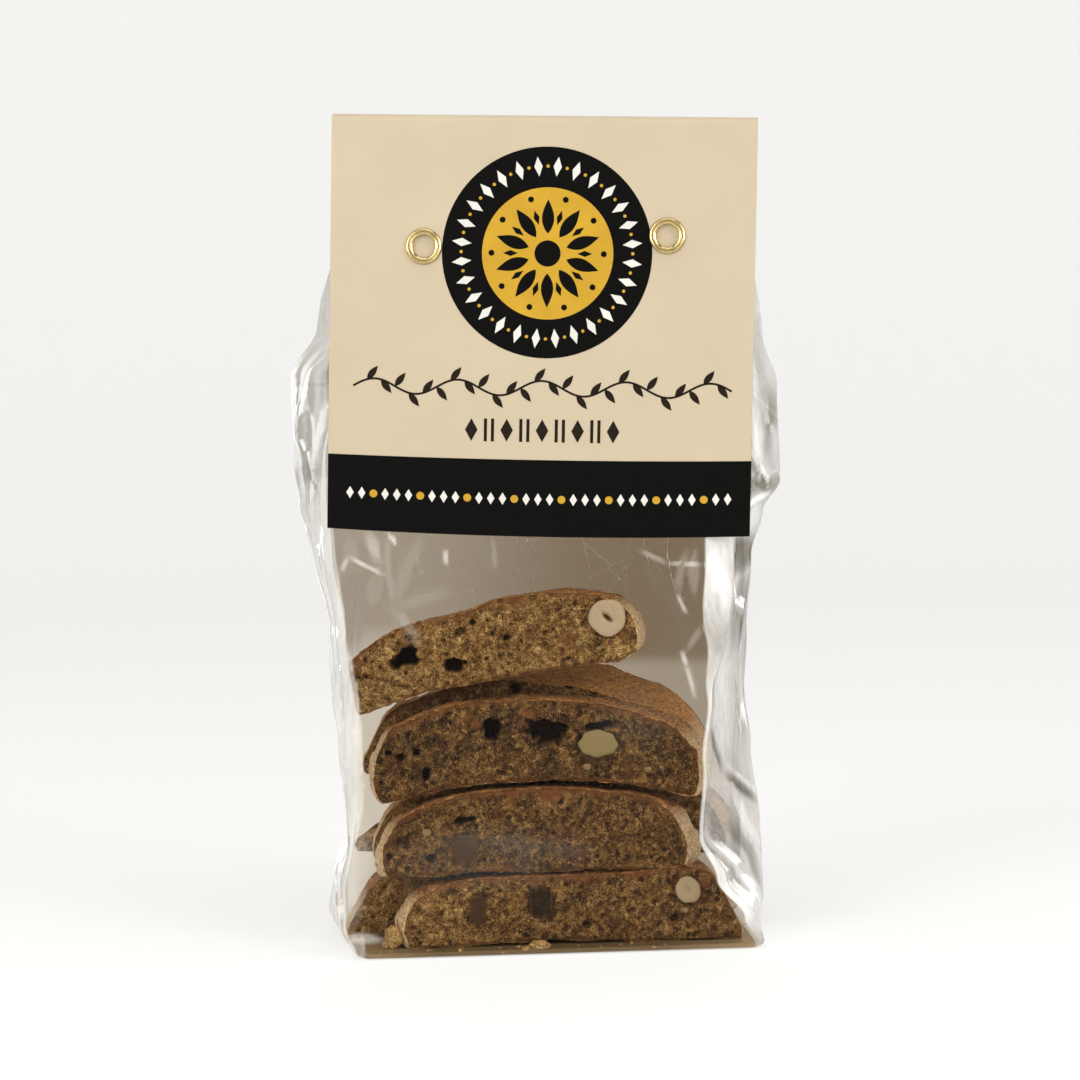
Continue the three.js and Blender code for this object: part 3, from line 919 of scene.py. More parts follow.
def carve(x, z, spec, seed, depth, grain):
    """Adds the holes and the seats of nuts and fruit to a front cut face."""
    hole = np.zeros(len(x))
    for index, (*spot, deep) in enumerate(spec["holes"]):
        inside = inside_spot(x, z, spot, seed + 80 + index, ragged=0.26)
        depth = depth + inside * deep
        hole = np.maximum(hole, inside * min(1, deep / 2))
    seats = [(*nut[:5], 2.2) for nut in spec["nuts"]]
    seats += [
        (cx, cz, width / 2 - 0.3, height / 2 - 0.3, turn, 4.0)
        for cx, cz, width, height, turn, _ in spec["fruit"]
    ]
    for index, (*spot, square) in enumerate(seats):
        inside = inside_spot(x, z, spot, seed + 90 + index, square, 0.07 if square < 3 else 0.16)
        depth = depth * (1 - inside) + inside * 1.8
        # the crumb drawn darker in a ring round each nut and fruit seat
        darker_ring = inside_spot(x, z, (*spot[:2], spot[2] + 1.0, spot[3] + 1.0, spot[4]), seed + 70, 2.4, 0.3)
        grain = grain - 0.22 * darker_ring
    return depth, grain, hole


def placed(points, spec):
    """Points of a slice as points of the pack."""
    matrix = (
        Matrix.Translation(spec["at"])
        @ Matrix.Rotation(math.radians(spec["turn"]), 4, "Z")
        @ Matrix.Rotation(math.radians(-spec["tilt"]), 4, "Y")
    )
    matrix = np.array(matrix)
    return np.asarray(points) @ matrix[:3, :3].T + matrix[:3, 3]


def slice_form(shares, spec):
    """Puts shares of length, height and depth into the slice's outer form."""
    u, v, w = shares.T
    u = 0.7 * u + 0.3 * (0.5 - 0.5 * np.cos(math.pi * u))
    low_edge, top = curve(spec["flat"], u), curve(spec["top"], u)
    between = 1 - (2 * w - 1) ** 2
    low, high = np.clip(1 - 2 * v, 0, 1), np.clip(2 * v - 1, 0, 1)
    left_low, left_high, right_low, right_high = spec["tuck"]
    left_swell, right_swell = spec["ends"]
    left = left_low * rounded(low) + left_high * rounded(high) - left_swell * between
    right = right_low * rounded(low) + right_high * rounded(high) - right_swell * between
    x = left + (spec["length"] - left - right) * u + spec["slant"] * w
    z = low_edge + (top - low_edge) * v + TOP_SWELL * between * v * np.sin(math.pi * u)
    z -= spec["drop"] * v * w**1.5
    if spec["rise"]:
        z -= curve(spec["rise"], u) * v * (1 - w**0.8)
    return np.stack([x, spec["thick"] * w, z], 1), u, z - low_edge, top - z


def make_slice(name, spec, seed, materials, step):
    length, thick, slant = spec["length"], spec["thick"], spec["slant"]
    height = max(h for _, h in spec["top"])
    n, m, k = round(length / step), round(height / step), round(thick / STEP["depth"])
    shares, faces, sides = box_surface(n, m, k)
    points, u, over_flat, under_top = slice_form(shares, spec)
    v, w = shares[:, 1], shares[:, 2]
    x, _, z = points.T
    front, rear = w == 0, w == 1
    edge = (shares[:, 0] == 0) | (shares[:, 0] == 1) | (v == 0) | (v == 1)

    bumps = 0.42 * soft_noise(points, 6.5, seed + 3) + 0.2 * soft_noise(points, 2.0, seed + 4)
    bumps += 0.26 * soft_noise(points, 1.0, seed + 5)
    outward = np.stack([(u - 0.5) * 0.6, 0 * u, (v - 0.5) * 2], 1)
    outward /= np.linalg.norm(outward, axis=1)[:, None] + 1e-6
    points = points + outward * (bumps * edge)[:, None]

    depth, grain = crumb_relief(x, z, seed)
    depth_rear, grain_rear = crumb_relief(x - slant, z, seed + 500)
    depth, grain, hole = carve(x, z, spec, seed, depth, grain)
    rounding = 0.5 * smooth(np.minimum(under_top, over_flat), 0.8, 0.0)
    points[:, 1] += (depth + rounding) * front - (depth_rear + rounding) * rear
    grain = np.where(rear, grain_rear, grain)

    ragged = 0.9 * soft_noise(np.stack([x, z], 1), 2.4, seed + 6)
    to_side = np.minimum(x - w * slant, length + w * slant - x) + ragged
    bake = 0.65 * smooth(under_top + ragged, 2.0, 0.2) + 0.3 * smooth(to_side, 1.6, 0.0)
    bake += 0.45 * smooth(over_flat + ragged, 1.0, 0.0)
    for cx, cz, radius in spec["red"]:
        bake += 0.6 * front * smooth(np.hypot(x - cx, z - cz) + 1.6 * ragged, radius, radius * 0.2)
    to_cut = np.minimum(w, 1 - w) * thick + 0.6 * soft_noise(points, 2.5, seed + 7)
    patch = 0.5 + 0.5 * soft_noise(points, 7.0, seed + 8)
    rim = smooth(to_cut, 1.5, 0.2) * patch
    # Painted light and shade: `tone` shifts the crumb darker or lighter along the slice, `end` pales the
    # crust at the ends, partly as light from the side, and `gold` brightens the crust of a slice.
    first, last = spec["tone"]
    tone = first + (last - first) * smooth(x, 8, 36)
    end = smooth(np.abs(2 * shares[:, 0] - 1), 0.84, 0.99)
    points = placed(points, spec)
    values = {
        "grain": np.clip(grain, 0, 1), "bake": np.clip(bake, 0, 1), "hole": hole * front,
        "rim": np.clip(rim, 0, 1), "end": end, "tone": tone, "gold": 0 * end + spec["gold"],
    }
    piece = build(name, points, faces, materials, np.where(sides == 2, 1, 0), values)
    sharpen_between(piece.data)
    return piece


def sharpen_between(mesh):
    """Keeps the edges sharp where a cut face meets the crust."""
    kinds = np.zeros(len(mesh.polygons), np.int32)
    mesh.polygons.foreach_get("material_index", kinds)
    loops = np.zeros(len(mesh.loops), np.int32)
    mesh.loops.foreach_get("edge_index", loops)
    kind_of_loop = np.repeat(kinds, 4)
    low = np.full(len(mesh.edges), 9, np.int32)
    high = np.full(len(mesh.edges), -1, np.int32)
    np.minimum.at(low, loops, kind_of_loop)
    np.maximum.at(high, loops, kind_of_loop)
    layer = mesh.attributes.new("sharp_edge", "BOOLEAN", "EDGE")
    layer.data.foreach_set("value", low != high)


def make_nuts(material):
    """Cut hazelnuts, each a flat round face with a slit over a rounded back."""
    rings, spokes, back_steps = 14, 44, 5
    parts = []
    share = np.linspace(0, 1, rings)[:, None]
    angle = np.linspace(0, 2 * math.pi, spokes, endpoint=False)[None, :]
    for number, spec in enumerate(SLICES.values()):
        for cx, cz, half_x, half_z, turn, slit, tint in spec["nuts"]:
            wobble = 1 + 0.025 * np.cos(3 * angle + number) + 0.02 * np.cos(5 * angle + 2 * number)
            wobble = wobble + 0.035 * tint * np.cos(8 * angle)
            across = share * wobble * np.cos(angle)
            up = share * wobble * np.sin(angle)
            hollow = slit * np.exp(-((across / 0.13) ** 2) - (up / 0.36) ** 2)
            depth = 0.35 + 1.4 * hollow + 0.35 * share**8 - 0.14 * np.sin(2 * angle) * share**2
            layers = [np.stack([across, depth + 0 * across, up], -1).reshape(-1, 3)]
            for step in range(1, back_steps + 1):
                bend = math.pi / 2 * step / back_steps
                shrink = math.cos(bend) + 1e-3
                rear = 0 * across[-1] + 0.7 + 3.2 * math.sin(bend)
                layers.append(np.stack([across[-1] * shrink, rear, up[-1] * shrink], -1))
            local = np.concatenate(layers)
            x, z = spun(local[:, 0] * half_x, local[:, 2] * half_z, turn, (cx, cz))
            ring = np.maximum(share + 0 * angle, 0.45) - 0.45 * hollow
            ring = np.concatenate([ring.ravel(), np.ones(back_steps * spokes)])
            parts.append(
                (placed(np.stack([x, local[:, 1], z], 1), spec),
                 grid_faces(rings + back_steps, spokes)[:, ::-1], {"ring": ring, "tint": tint})
            )
    return join("hazelnuts", parts, material)


def make_fruit(material):
    """Diced dried fruit: softened cubes, level with the cut face."""
    cells = 12
    parts = []
    for number, spec in enumerate(SLICES.values()):
        for cx, cz, width, height, turn, tint in spec["fruit"]:
            shares, quads, _ = box_surface(cells, cells, cells)
            ball = 2 * shares - 1
            ball *= 1 - 0.07 * (np.abs(np.roll(ball, 1, 1)) ** 3 + np.abs(np.roll(ball, 2, 1)) ** 3)
            x, y, z = ball.T
            ring = np.maximum(np.abs(x), np.abs(z))
            x, z = x * width / 2 * (1 + 0.06 * z), z * height / 2 * (1 - 0.05 * x)
            y = 0.7 + 2.4 * (y + 1) + 0.3 * soft_noise(np.stack([x, z], 1), 2.0, number)
            x, z = spun(x, z, turn, (cx, cz))
            parts.append((placed(np.stack([x, y, z], 1), spec), quads, {"tint": tint, "ring": ring}))
    return join("dried_fruit", parts, material)


def lump(centre, size, seed):
    """An uneven rounded lump as points and faces. A larger one is divided more finely."""
    rings, spokes = (26, 40) if max(size) > 1.4 else (9, 14)
    theta = np.linspace(0.02, math.pi - 0.02, rings)[:, None]
    phi = np.linspace(0, 2 * math.pi, spokes, endpoint=False)[None, :]
    ball = np.stack(
        [np.sin(theta) * np.cos(phi), np.sin(theta) * np.sin(phi), np.cos(theta) + 0 * phi], -1
    ).reshape(-1, 3)
    rough = 1 + 0.2 * soft_noise(ball + seed, 0.8, seed) + 0.15 * soft_noise(ball, 0.3, seed)
    rough += 0.12 * soft_noise(ball, 0.14, seed)
    points = ball * rough[:, None] * np.array(size) + np.array(centre)
    faces = grid_faces(rings, spokes)[:, ::-1]
    return points, faces


CRUMBS = [  # centre and half sizes of the crumbs that stand out
    ((-41.4, -21.5, 4.0), (2.5, 2.6, 2.8)),
    ((-42.8, -22.0, 2.2), (1.7, 1.6, 1.2)),
    ((-4.9, -27.9, 2.1), (2.6, 1.3, 1.5)),
    ((-8.6, -28.4, 1.5), (1.2, 0.9, 0.7)),
    ((46.2, -20.5, 2.2), (1.3, 1.2, 0.9)),
    ((24.0, -28.6, 1.0), (0.9, 0.7, 0.5)),
    ((-14.0, -28.6, 0.9), (1.0, 0.7, 0.5)),
]


def make_crumbs(material):
    """Loose crumbs on the base card, along the front and at the sides."""
    random = np.random.default_rng(5)
    crumbs = list(CRUMBS)
    for _ in range(36):
        size = random.uniform(0.15, 0.5) * random.uniform(0.6, 1.4)
        x = random.uniform(-47, 47)
        y = random.choice([-1, 1]) * random.uniform(25.5, 28.8)
        crumbs.append(((x, y, 1.35 + size * 0.5), (size * 1.2, size, size * 0.8)))
    look = {"grain": 0.62, "bake": 0.0, "hole": 0.0, "tone": 0.12}
    return join("crumbs", [(*lump(*crumb, seed), look) for seed, crumb in enumerate(crumbs)], material)


def make_bits(material):
    """Small nut pieces that show in the cut faces."""
    parts = []
    for number, spec in enumerate(SLICES.values()):
        for index, (x, z, radius) in enumerate(spec["bits"]):
            points, faces = lump((x, 0.5, z), (radius, 0.7, radius * 0.8), number * 10 + index)
            parts.append((placed(points, spec), faces, {"ring": 0.93, "tint": 1.0}))
    return join("nut_pieces", parts, material)


def add_biscotti():
    crumb, crust = crumb_material(), crust_material()
    for number, (name, spec) in enumerate(SLICES.items()):
        step = STEP["front" if "front" in name else "other"]
        hand_over(make_slice(name, spec, 100 * number, [crumb, crust], step))
    nut = nut_material()
    hand_over(make_nuts(nut))
    hand_over(make_bits(nut))
    hand_over(make_fruit(fruit_material()))
    hand_over(make_crumbs(crumb))


# ---- Base card ----------------------------------------------------------------------

BASE_CARD = {"middle": 0.6, "width": 99.0, "depth": 58.2, "low": 0.3, "high": 1.4, "corner": 2.6}


def add_base_card():
    """A stiff board under the biscotti, with rounded corners and a softened edge."""
    steps = 10
    half_w, half_d, corner = BASE_CARD["width"] / 2, BASE_CARD["depth"] / 2, BASE_CARD["corner"]
    outline = []
    for quarter, (sx, sy) in enumerate(((1, -1), (1, 1), (-1, 1), (-1, -1))):
        for i in range(steps + 1):
            angle = math.pi / 2 * (quarter - 1 + i / steps)
            outline.append(
                (sx * (half_w - corner) + corner * math.cos(angle),
                 sy * (half_d - corner) + corner * math.sin(angle))
            )
    outline = np.array(outline)
    soft = 0.15
    levels = [(BASE_CARD["low"], soft), (BASE_CARD["low"] + soft, 0), (BASE_CARD["high"] - soft, 0),
              (BASE_CARD["high"], soft)]
    points = [
        (BASE_CARD["middle"] + x * (1 - inset / half_w), y * (1 - inset / half_d), z)
        for z, inset in levels
        for x, y in outline
    ]
    count = len(outline)
    faces = grid_faces(len(levels), count).tolist()
    faces.append(list(range(count))[::-1])
    faces.append([(len(levels) - 1) * count + i for i in range(count)])
    hand_over(build("base_card", points, faces, [base_material()], flat=True))


# ---- Film ---------------------------------------------------------------------------

# Where the folds of the bag lie at each height: the middle folds of the gussets and the
# front corner folds, left and right of the axis.
FOLDS = np.array([
    # z, side left, side right, front left, front right
    (0, -49, 50, -49, 50),
    (1.5, -55, 54.5, -51.5, 51.5),
    (8, -57.4, 56, -54, 48.5),
    (18, -56, 55.7, -54, 41.5),
    (29, -51.5, 55.2, -52, 36.5),
    (48, -54.2, 53, -51.5, 38.5),
    (66, -56, 51, -50.5, 41.4),
    (80, -56.3, 51.8, -51.5, 44.7),
    (100, -60.5, 54, -55, 46.4),
    (112, -63, 57, -56, 46.6),
    (120, -63.9, 61.2, -55.5, 46.8),
    (144, -64.2, 59.9, -52, 47.5),
    (157, -57.3, 56, -48, 48),
    (180, -52.5, 52.5, -48, 48),
    (209.2, -51.5, 51.5, -48, 48),
])
SIDE_LEFT, SIDE_RIGHT, FRONT_LEFT, FRONT_RIGHT = 1, 2, 3, 4
HALF_DEPTH = 30.0
SHEET = {"swell": 0.6, "front_mouth": -17.3, "back_mouth": -15.5, "shoulder": 5.0,
         "slopes": (60, 105), "top": 209.2}
FOOT_ROWS = [0.0, 0.2, 0.6, 1.1]
FILM_ROWS = [(1.8, 106, 162), (106.75, 157, 68), (164, SHEET["top"], 7)]  # lowest, highest, count
FLOOR_GAP = 0.12  # keeps the film's underside off the floor
REAR = {"straight": 172.0, "radius": 40.0, "slope": math.radians(26)}

# The ring's stretches, counter-clockwise from the front left: how many steps each has,
# how clear its film is, how much milky haze and painted glare it has, and how crumpled it is.
STRETCHES = [
    ("front", 160, 0.0, 0.002, 0.0),
    ("right_chamfer", 10, 0.8, 0.34, 0.1),
    ("right_front", 50, 1.0, 0.24, 0.4),
    ("right_edge", 4, 1.0, 0.42, 0.5),
    ("right_back", 34, 0.8, 0.07, 0.8),
    ("back", 50, 0.0, 0.004, 0.5),
    ("left_back", 34, 0.8, 0.07, 0.8),
    ("left_edge", 4, 1.0, 0.42, 0.5),
    ("left_front", 50, 1.0, 0.1, 0.4),
    ("left_chamfer", 6, 0.8, 0.4, 0.2),
]

# Creases of each stretch: share along it and height of both ends, height and half-width of the
# ridge (negative for a valley), and how much it whitens as a painted highlight (negative if it darkens, as
# painted shade).
CREASES = {
    "left_front": [
        # fan at the left ear
        ((0.16, 130), (0.1, 150), 0.9, 2.6, 0.6),
        ((0.16, 130), (0.34, 152), -0.8, 2.4, 0.45),
        ((0.16, 130), (0.55, 150), 0.8, 2.4, 0.6),
        ((0.16, 130), (0.02, 118), 0.7, 2.8, 0.5),
        ((0.16, 130), (0.3, 112), -0.8, 2.6, 0.4),
        ((0.16, 130), (0.75, 120), 0.7, 2.4, 0.6),
        # long left streaks down to the pinch
        ((0.1, 104), (0.35, 62), 0.8, 2.6, 0.7),
        ((0.7, 100), (0.75, 60), 0.5, 2.2, 0.45),
        ((0.75, 62), (0.4, 29), 0.7, 2.4, 0.7),
        ((0.35, 62), (0.3, 34), 0.5, 2.2, 0.35),
        # folds below the left pinch
        ((0.0, 29), (0.75, 8), 0.7, 2.4, 0.75),
        ((0.5, 28), (0.45, 2), -0.6, 2.6, 0.45),
        ((0.9, 30), (0.95, 2), 0.5, 2.0, 0.7),
        ((0.45, 5), (0.98, 4), 0.4, 2.4, 0.5),
        ((0.15, 152), (0.35, 107), 0.6, 3.5, -0.4),
        ((0.5, 150), (0.45, 108), -0.6, 3.0, -0.35),
        ((0.85, 142), (0.6, 108), 0.6, 3.0, 0.45),
        ((0.35, 138), (0.9, 122), 0.5, 2.0, 0.4),
        ((0.2, 124), (0.95, 114), -0.5, 2.0, -0.45),
    ],
    "right_front": [
        # right ear
        ((0.9, 117), (0.3, 128), 0.9, 2.4, 0.6),
        ((0.95, 117), (0.1, 112), 0.9, 2.2, 0.55),
        ((0.5, 152), (0.85, 132), -0.7, 2.6, 0.4),
        ((0.3, 145), (0.55, 120), 0.8, 2.4, 0.5),
        ((0.2, 152), (0.4, 107), 0.6, 3.5, -0.4),
        ((0.6, 150), (0.5, 122), -0.6, 3.0, 0.4),
        ((0.9, 142), (0.7, 124), 0.6, 3.0, -0.35),
        ((0.1, 127), (0.95, 117), -0.5, 3.0, -0.5),
        ((0.1, 122), (0.95, 116.5), -0.5, 2.0, -0.4),
        # right gusset bands, with the dark branching fold
        ((0.3, 104), (0.15, 70), -0.6, 5.0, 0.3),
        ((0.15, 88.5), (0.97, 85), 0.3, 3.0, 0.6),
        ((0.03, 75), (0.05, 58), 0.2, 4.0, -0.85),
        ((0.05, 58), (0.33, 44.5), 0.3, 4.0, -0.95),
        ((0.33, 44.5), (0.97, 33.5), 0.3, 3.4, -0.95),
        ((0.5, 40), (0.98, 22), -0.25, 5.0, 0.3),
        ((0.45, 34), (0.97, 8), 0.2, 8.0, -0.75),
        ((0.02, 30), (0.8, 2), 0.2, 4.5, 0.5),
    ],
    "front": [
        # facets in the window's upper left
        ((0.088, 105.7), (0.133, 95.6), 0.35, 3.2, 0.12),
        ((0.043, 98.6), (0.134, 94.3), 0.4, 1.3, 0.42),
        ((0.018, 94.8), (0.043, 98.6), 0.3, 1.3, 0.3),
        ((0.15, 105.5), (0.145, 86.4), -0.35, 2.6, 0.1),
        ((0.145, 86.4), (0.2, 78), 0.35, 2.6, 0.1),
        ((0.25, 105), (0.145, 86.4), 0.3, 3.4, 0.06),
        ((0.145, 86.4), (0.32, 91), 0.3, 3.0, 0.05),
        ((0.305, 101), (0.305, 97), 0.3, 1.3, 0.4),
        ((0.43, 105), (0.44, 96), 0.25, 1.4, 0.08),
        # star wrinkles and curls on the window's right
        ((0.825, 101.7), (0.894, 98.6), 0.3, 1.8, 0.22),
        ((0.894, 98.6), (0.99, 98.5), 0.3, 1.2, 0.3),
        ((0.95, 102.3), (0.925, 91.1), -0.3, 2.4, 0.12),
        ((0.925, 91.1), (0.95, 86.1), 0.35, 1.4, 0.4),
        ((0.925, 77), (0.94, 73), 0.35, 1.2, 0.4),
        ((0.935, 74), (0.96, 65), 0.35, 1.0, 0.4),
        ((0.99, 83), (0.94, 77), -0.25, 1.8, 0.12),
        # a faint fold across the two lower slices
        ((0.2, 31), (0.72, 26), 0.15, 5.0, 0.015),
    ],
    "back": [
        # the back seam's two edges
        ((0.56, 1), (0.56, 150), 0.35, 0.9, 0.4),
        ((0.6, 1), (0.6, 150), 0.35, 0.9, 0.35),
    ],
}

# Milky patches of each stretch with painted glare, or patches of painted shade if below zero:
# share along it, height, half sizes, turn and strength.
PATCHES = {
    "front": [
        (0.004, 54, 1.7, 24.0, 0.01, 0.45),
        (0.112, 102, 1.9, 4.2, 0.3, 0.14),
        (0.1, 91, 2.4, 5.2, -0.5, 0.05),
        (0.05, 100.5, 2.0, 3.2, 0.2, 0.05),
        (0.162, 103.5, 0.9, 2.3, 0.5, 0.5),
        (0.965, 96, 1.6, 7.0, -0.2, 0.12),
        (0.38, 25, 26.0, 9.0, 0.0, 0.02),
        (0.035, 5.6, 4.6, 1.5, -0.05, 0.5),
        (0.012, 22, 4.2, 13.0, 0.0, 0.2),
        (0.8, 60, 12.0, 9.0, 0.4, 0.012),
    ],
    "left_front": [
        (0.75, 3.5, 4.5, 3.0, 0.3, 0.4),
        (0.45, 92, 10.0, 14.0, 0.05, 0.06),
        (0.7, 62, 9.0, 16.0, 0.0, 0.14),
        (0.8, 66, 12.0, 12.0, 0.0, -0.2),
        (0.5, 120, 7.0, 3.5, 0.2, -0.2),
        (0.85, 143, 3.0, 7.0, -0.2, -0.25),
    ],
    "right_front": [
        (0.35, 64, 9.0, 16.0, 0.0, 0.18),
        (0.65, 85, 11.0, 11.0, 0.0, -0.8),
        (0.35, 111, 8.0, 6.0, 0.0, 0.35),
        (0.45, 100.5, 10.0, 5.5, 0.0, -0.95),
        (0.6, 118.5, 12.0, 2.6, 0.15, -0.4),
        (0.8, 138, 6.0, 7.0, 0.1, -0.3),
        (0.3, 26, 7.0, 12.0, 0.0, -0.3),
    ],
    "left_back": [
        (0.4, 70, 5.0, 14.0, 0.1, 0.1),
    ],
}


def fold_at(z, column):
    """Where a fold lies at height z, eased between the listed heights."""
    upper = np.clip(np.searchsorted(FOLDS[:, 0], z), 1, len(FOLDS) - 1)
    low, high = FOLDS[upper - 1], FOLDS[upper]
    share = smooth((z - low[..., 0]) / (high[..., 0] - low[..., 0]))
    return low[..., column] + (high[..., column] - low[..., column]) * share


def front_depth(z):
    body = -HALF_DEPTH - SHEET["swell"] * smooth(z, 0, 12)
    return body + (SHEET["front_mouth"] - body) * smooth(z, *SHEET["slopes"])


def back_depth(z):
    """Back of the bag: the slope under the rear panel, rounded into the body below."""
    body = HALF_DEPTH + SHEET["swell"] * smooth(z, 0, 12)
    radius, angle = REAR["radius"], REAR["slope"]
    bend = radius * math.sin(angle)
    drop = np.maximum(0, REAR["straight"] - z)
    arc = radius - np.sqrt(radius**2 - np.minimum(drop, bend) ** 2)
    slope = SHEET["back_mouth"] + arc + np.maximum(0, drop - bend) * math.tan(angle)
    blend = np.clip(0.5 + 0.5 * (body - slope) / SHEET["shoulder"], 0, 1)
    return body + (slope - body) * blend - SHEET["shoulder"] * blend * (1 - blend)


def turned(across, depth, z):
    """Moves the section's points into the pack, turned and leaned with the header card."""
    twist = smooth(z, 20, CARD["bottom"])
    up = np.maximum(0, z - CARD["bottom"])
    lean, turn = LEAN * twist, TURN * twist
    x = across * np.cos(lean) + up * np.sin(lean) + CARD["offset"] * twist
    height = z - up - across * np.sin(lean) + up * np.cos(lean)
    return np.stack(
        [x * np.cos(turn) - depth * np.sin(turn), x * np.sin(turn) + depth * np.cos(turn), height], -1
    )


def film_corners(z):
    """The ring's corners at each height: array of heights x corners x (across, depth)."""
    front, back = front_depth(z), back_depth(z)
    middle = (front + back) / 2
    foot = 1.5 * rounded(np.clip(1 - z / 1.5, 0, 1))
    front, back = front + foot, back - foot
    back_fold = 51.5 - 3.5 * smooth(z, 90, 140) - foot
    width = 6.6 * smooth(z, 62, 90) * (1 - 0.6 * smooth(z, 110, 150))
    width = width + 0.7 + 1.7 * smooth(z, 30, 18) * smooth(z, 0, 6)
    left_width = 1.9 * smooth(z, 26, 40) * (1 - smooth(z, 104, 130)) + 0.5
    left, right = fold_at(z, FRONT_LEFT), fold_at(z, FRONT_RIGHT)
    side_left, side_right = fold_at(z, SIDE_LEFT), fold_at(z, SIDE_RIGHT)
    edge = np.minimum(1.4, (back - front) / 6)
    corners = [
        (left + left_width, front),
        (right - width / 2, front),
        (right + width / 2, np.minimum(front + 0.62 * width, middle - 0.2)),
        (side_right, middle - edge),
        (side_right, middle + edge),
        (back_fold, back),
        (-back_fold, back),
        (side_left, middle + edge),
        (side_left, middle - edge),
        (left, np.minimum(front + 1.1 * left_width, middle - 0.2)),
    ]
    return np.stack([np.stack(c, -1) for c in corners], 1)


def crease_effect(s, z, start, end, height, half):
    """How far one crease lifts each point of its stretch, how far away it is, and how
    strong it is there."""
    along = np.array(end) - np.array(start)
    length = np.hypot(*along)
    along = along / length
    ds, dz = s - start[0], z - start[1]
    t = ds * along[0] + dz * along[1]
    away = np.abs(ds * along[1] - dz * along[0])
    over = np.maximum(0, np.maximum(-t, t - length))
    away = np.hypot(away, over * 1.5)
    ends = smooth(t / length, -0.05, 0.3) * smooth(t / length, 1.05, 0.7)
    lift = height * np.clip(1 - away / half, 0, 1) * np.where(over > 0, 0.4, 0.4 + 0.6 * ends)
    return lift, away, 0.15 + 0.85 * ends


# Small creases left to chance: stretch, how many, lowest and highest start, and height.
RANDOM_CREASES = [
    ("left_front", 9, 4, 160, 0.5), ("left_back", 12, 4, 160, 0.5), ("right_front", 8, 4, 160, 0.5),
    ("right_back", 12, 4, 160, 0.5), ("back", 26, 4, 150, 0.3),
]


def random_creases(count, seed, z_low, z_high, height):
    """Small unplanned creases, most of them slanting."""
    random = np.random.default_rng(seed)
    made = []
    for _ in range(count):
        share, z = random.uniform(0.02, 0.98), random.uniform(z_low, z_high)
        reach = random.uniform(4, 16)
        slant = random.uniform(-0.3, 0.3)
        sign = random.choice([-1, 1])
        made.append(
            ((share, z), (min(1, max(0, share + slant)), z + reach),
             sign * height * random.uniform(0.4, 1), random.uniform(1.4, 3.2),
             random.uniform(0, 0.7 * height))
        )
    return made


def film_rings():
    """The film's points, ring by ring, with their normals, stretches and shares."""
    heights = np.concatenate([FOOT_ROWS] + [np.linspace(*rows) for rows in FILM_ROWS])
    corners = film_corners(heights)
    following = np.roll(corners, -1, axis=1)
    columns = []
    for index, (name, steps, clear, haze, crumple) in enumerate(STRETCHES):
        share = np.arange(steps) / steps
        start, end = corners[:, index, None, :], following[:, index, None, :]
        points = start + (end - start) * share[None, :, None]
        length = np.linalg.norm(end - start, axis=-1)
        along = (end - start) / np.maximum(length, 1e-6)[..., None]
        normal = np.stack([along[..., 1], -along[..., 0]], -1) + 0 * points
        columns.append(
            {"name": name, "points": points, "normal": normal, "share": share[None, :] + 0 * length,
             "s": share[None, :] * length, "length": length[:, 0], "clear": clear, "haze": haze,
             "crumple": crumple}
        )
    return heights, columns


def veil_spot(s, z, spot):
    """A soft round spot on a stretch of film: 0 outside, 1 in its middle."""
    middle, height, half_s, half_z, turn = spot
    across = (s - middle) * math.cos(turn) + (z - height) * math.sin(turn)
    up = (z - height) * math.cos(turn) - (s - middle) * math.sin(turn)
    return smooth(np.hypot(across / half_s, up / half_z), 1.25, 0.45)


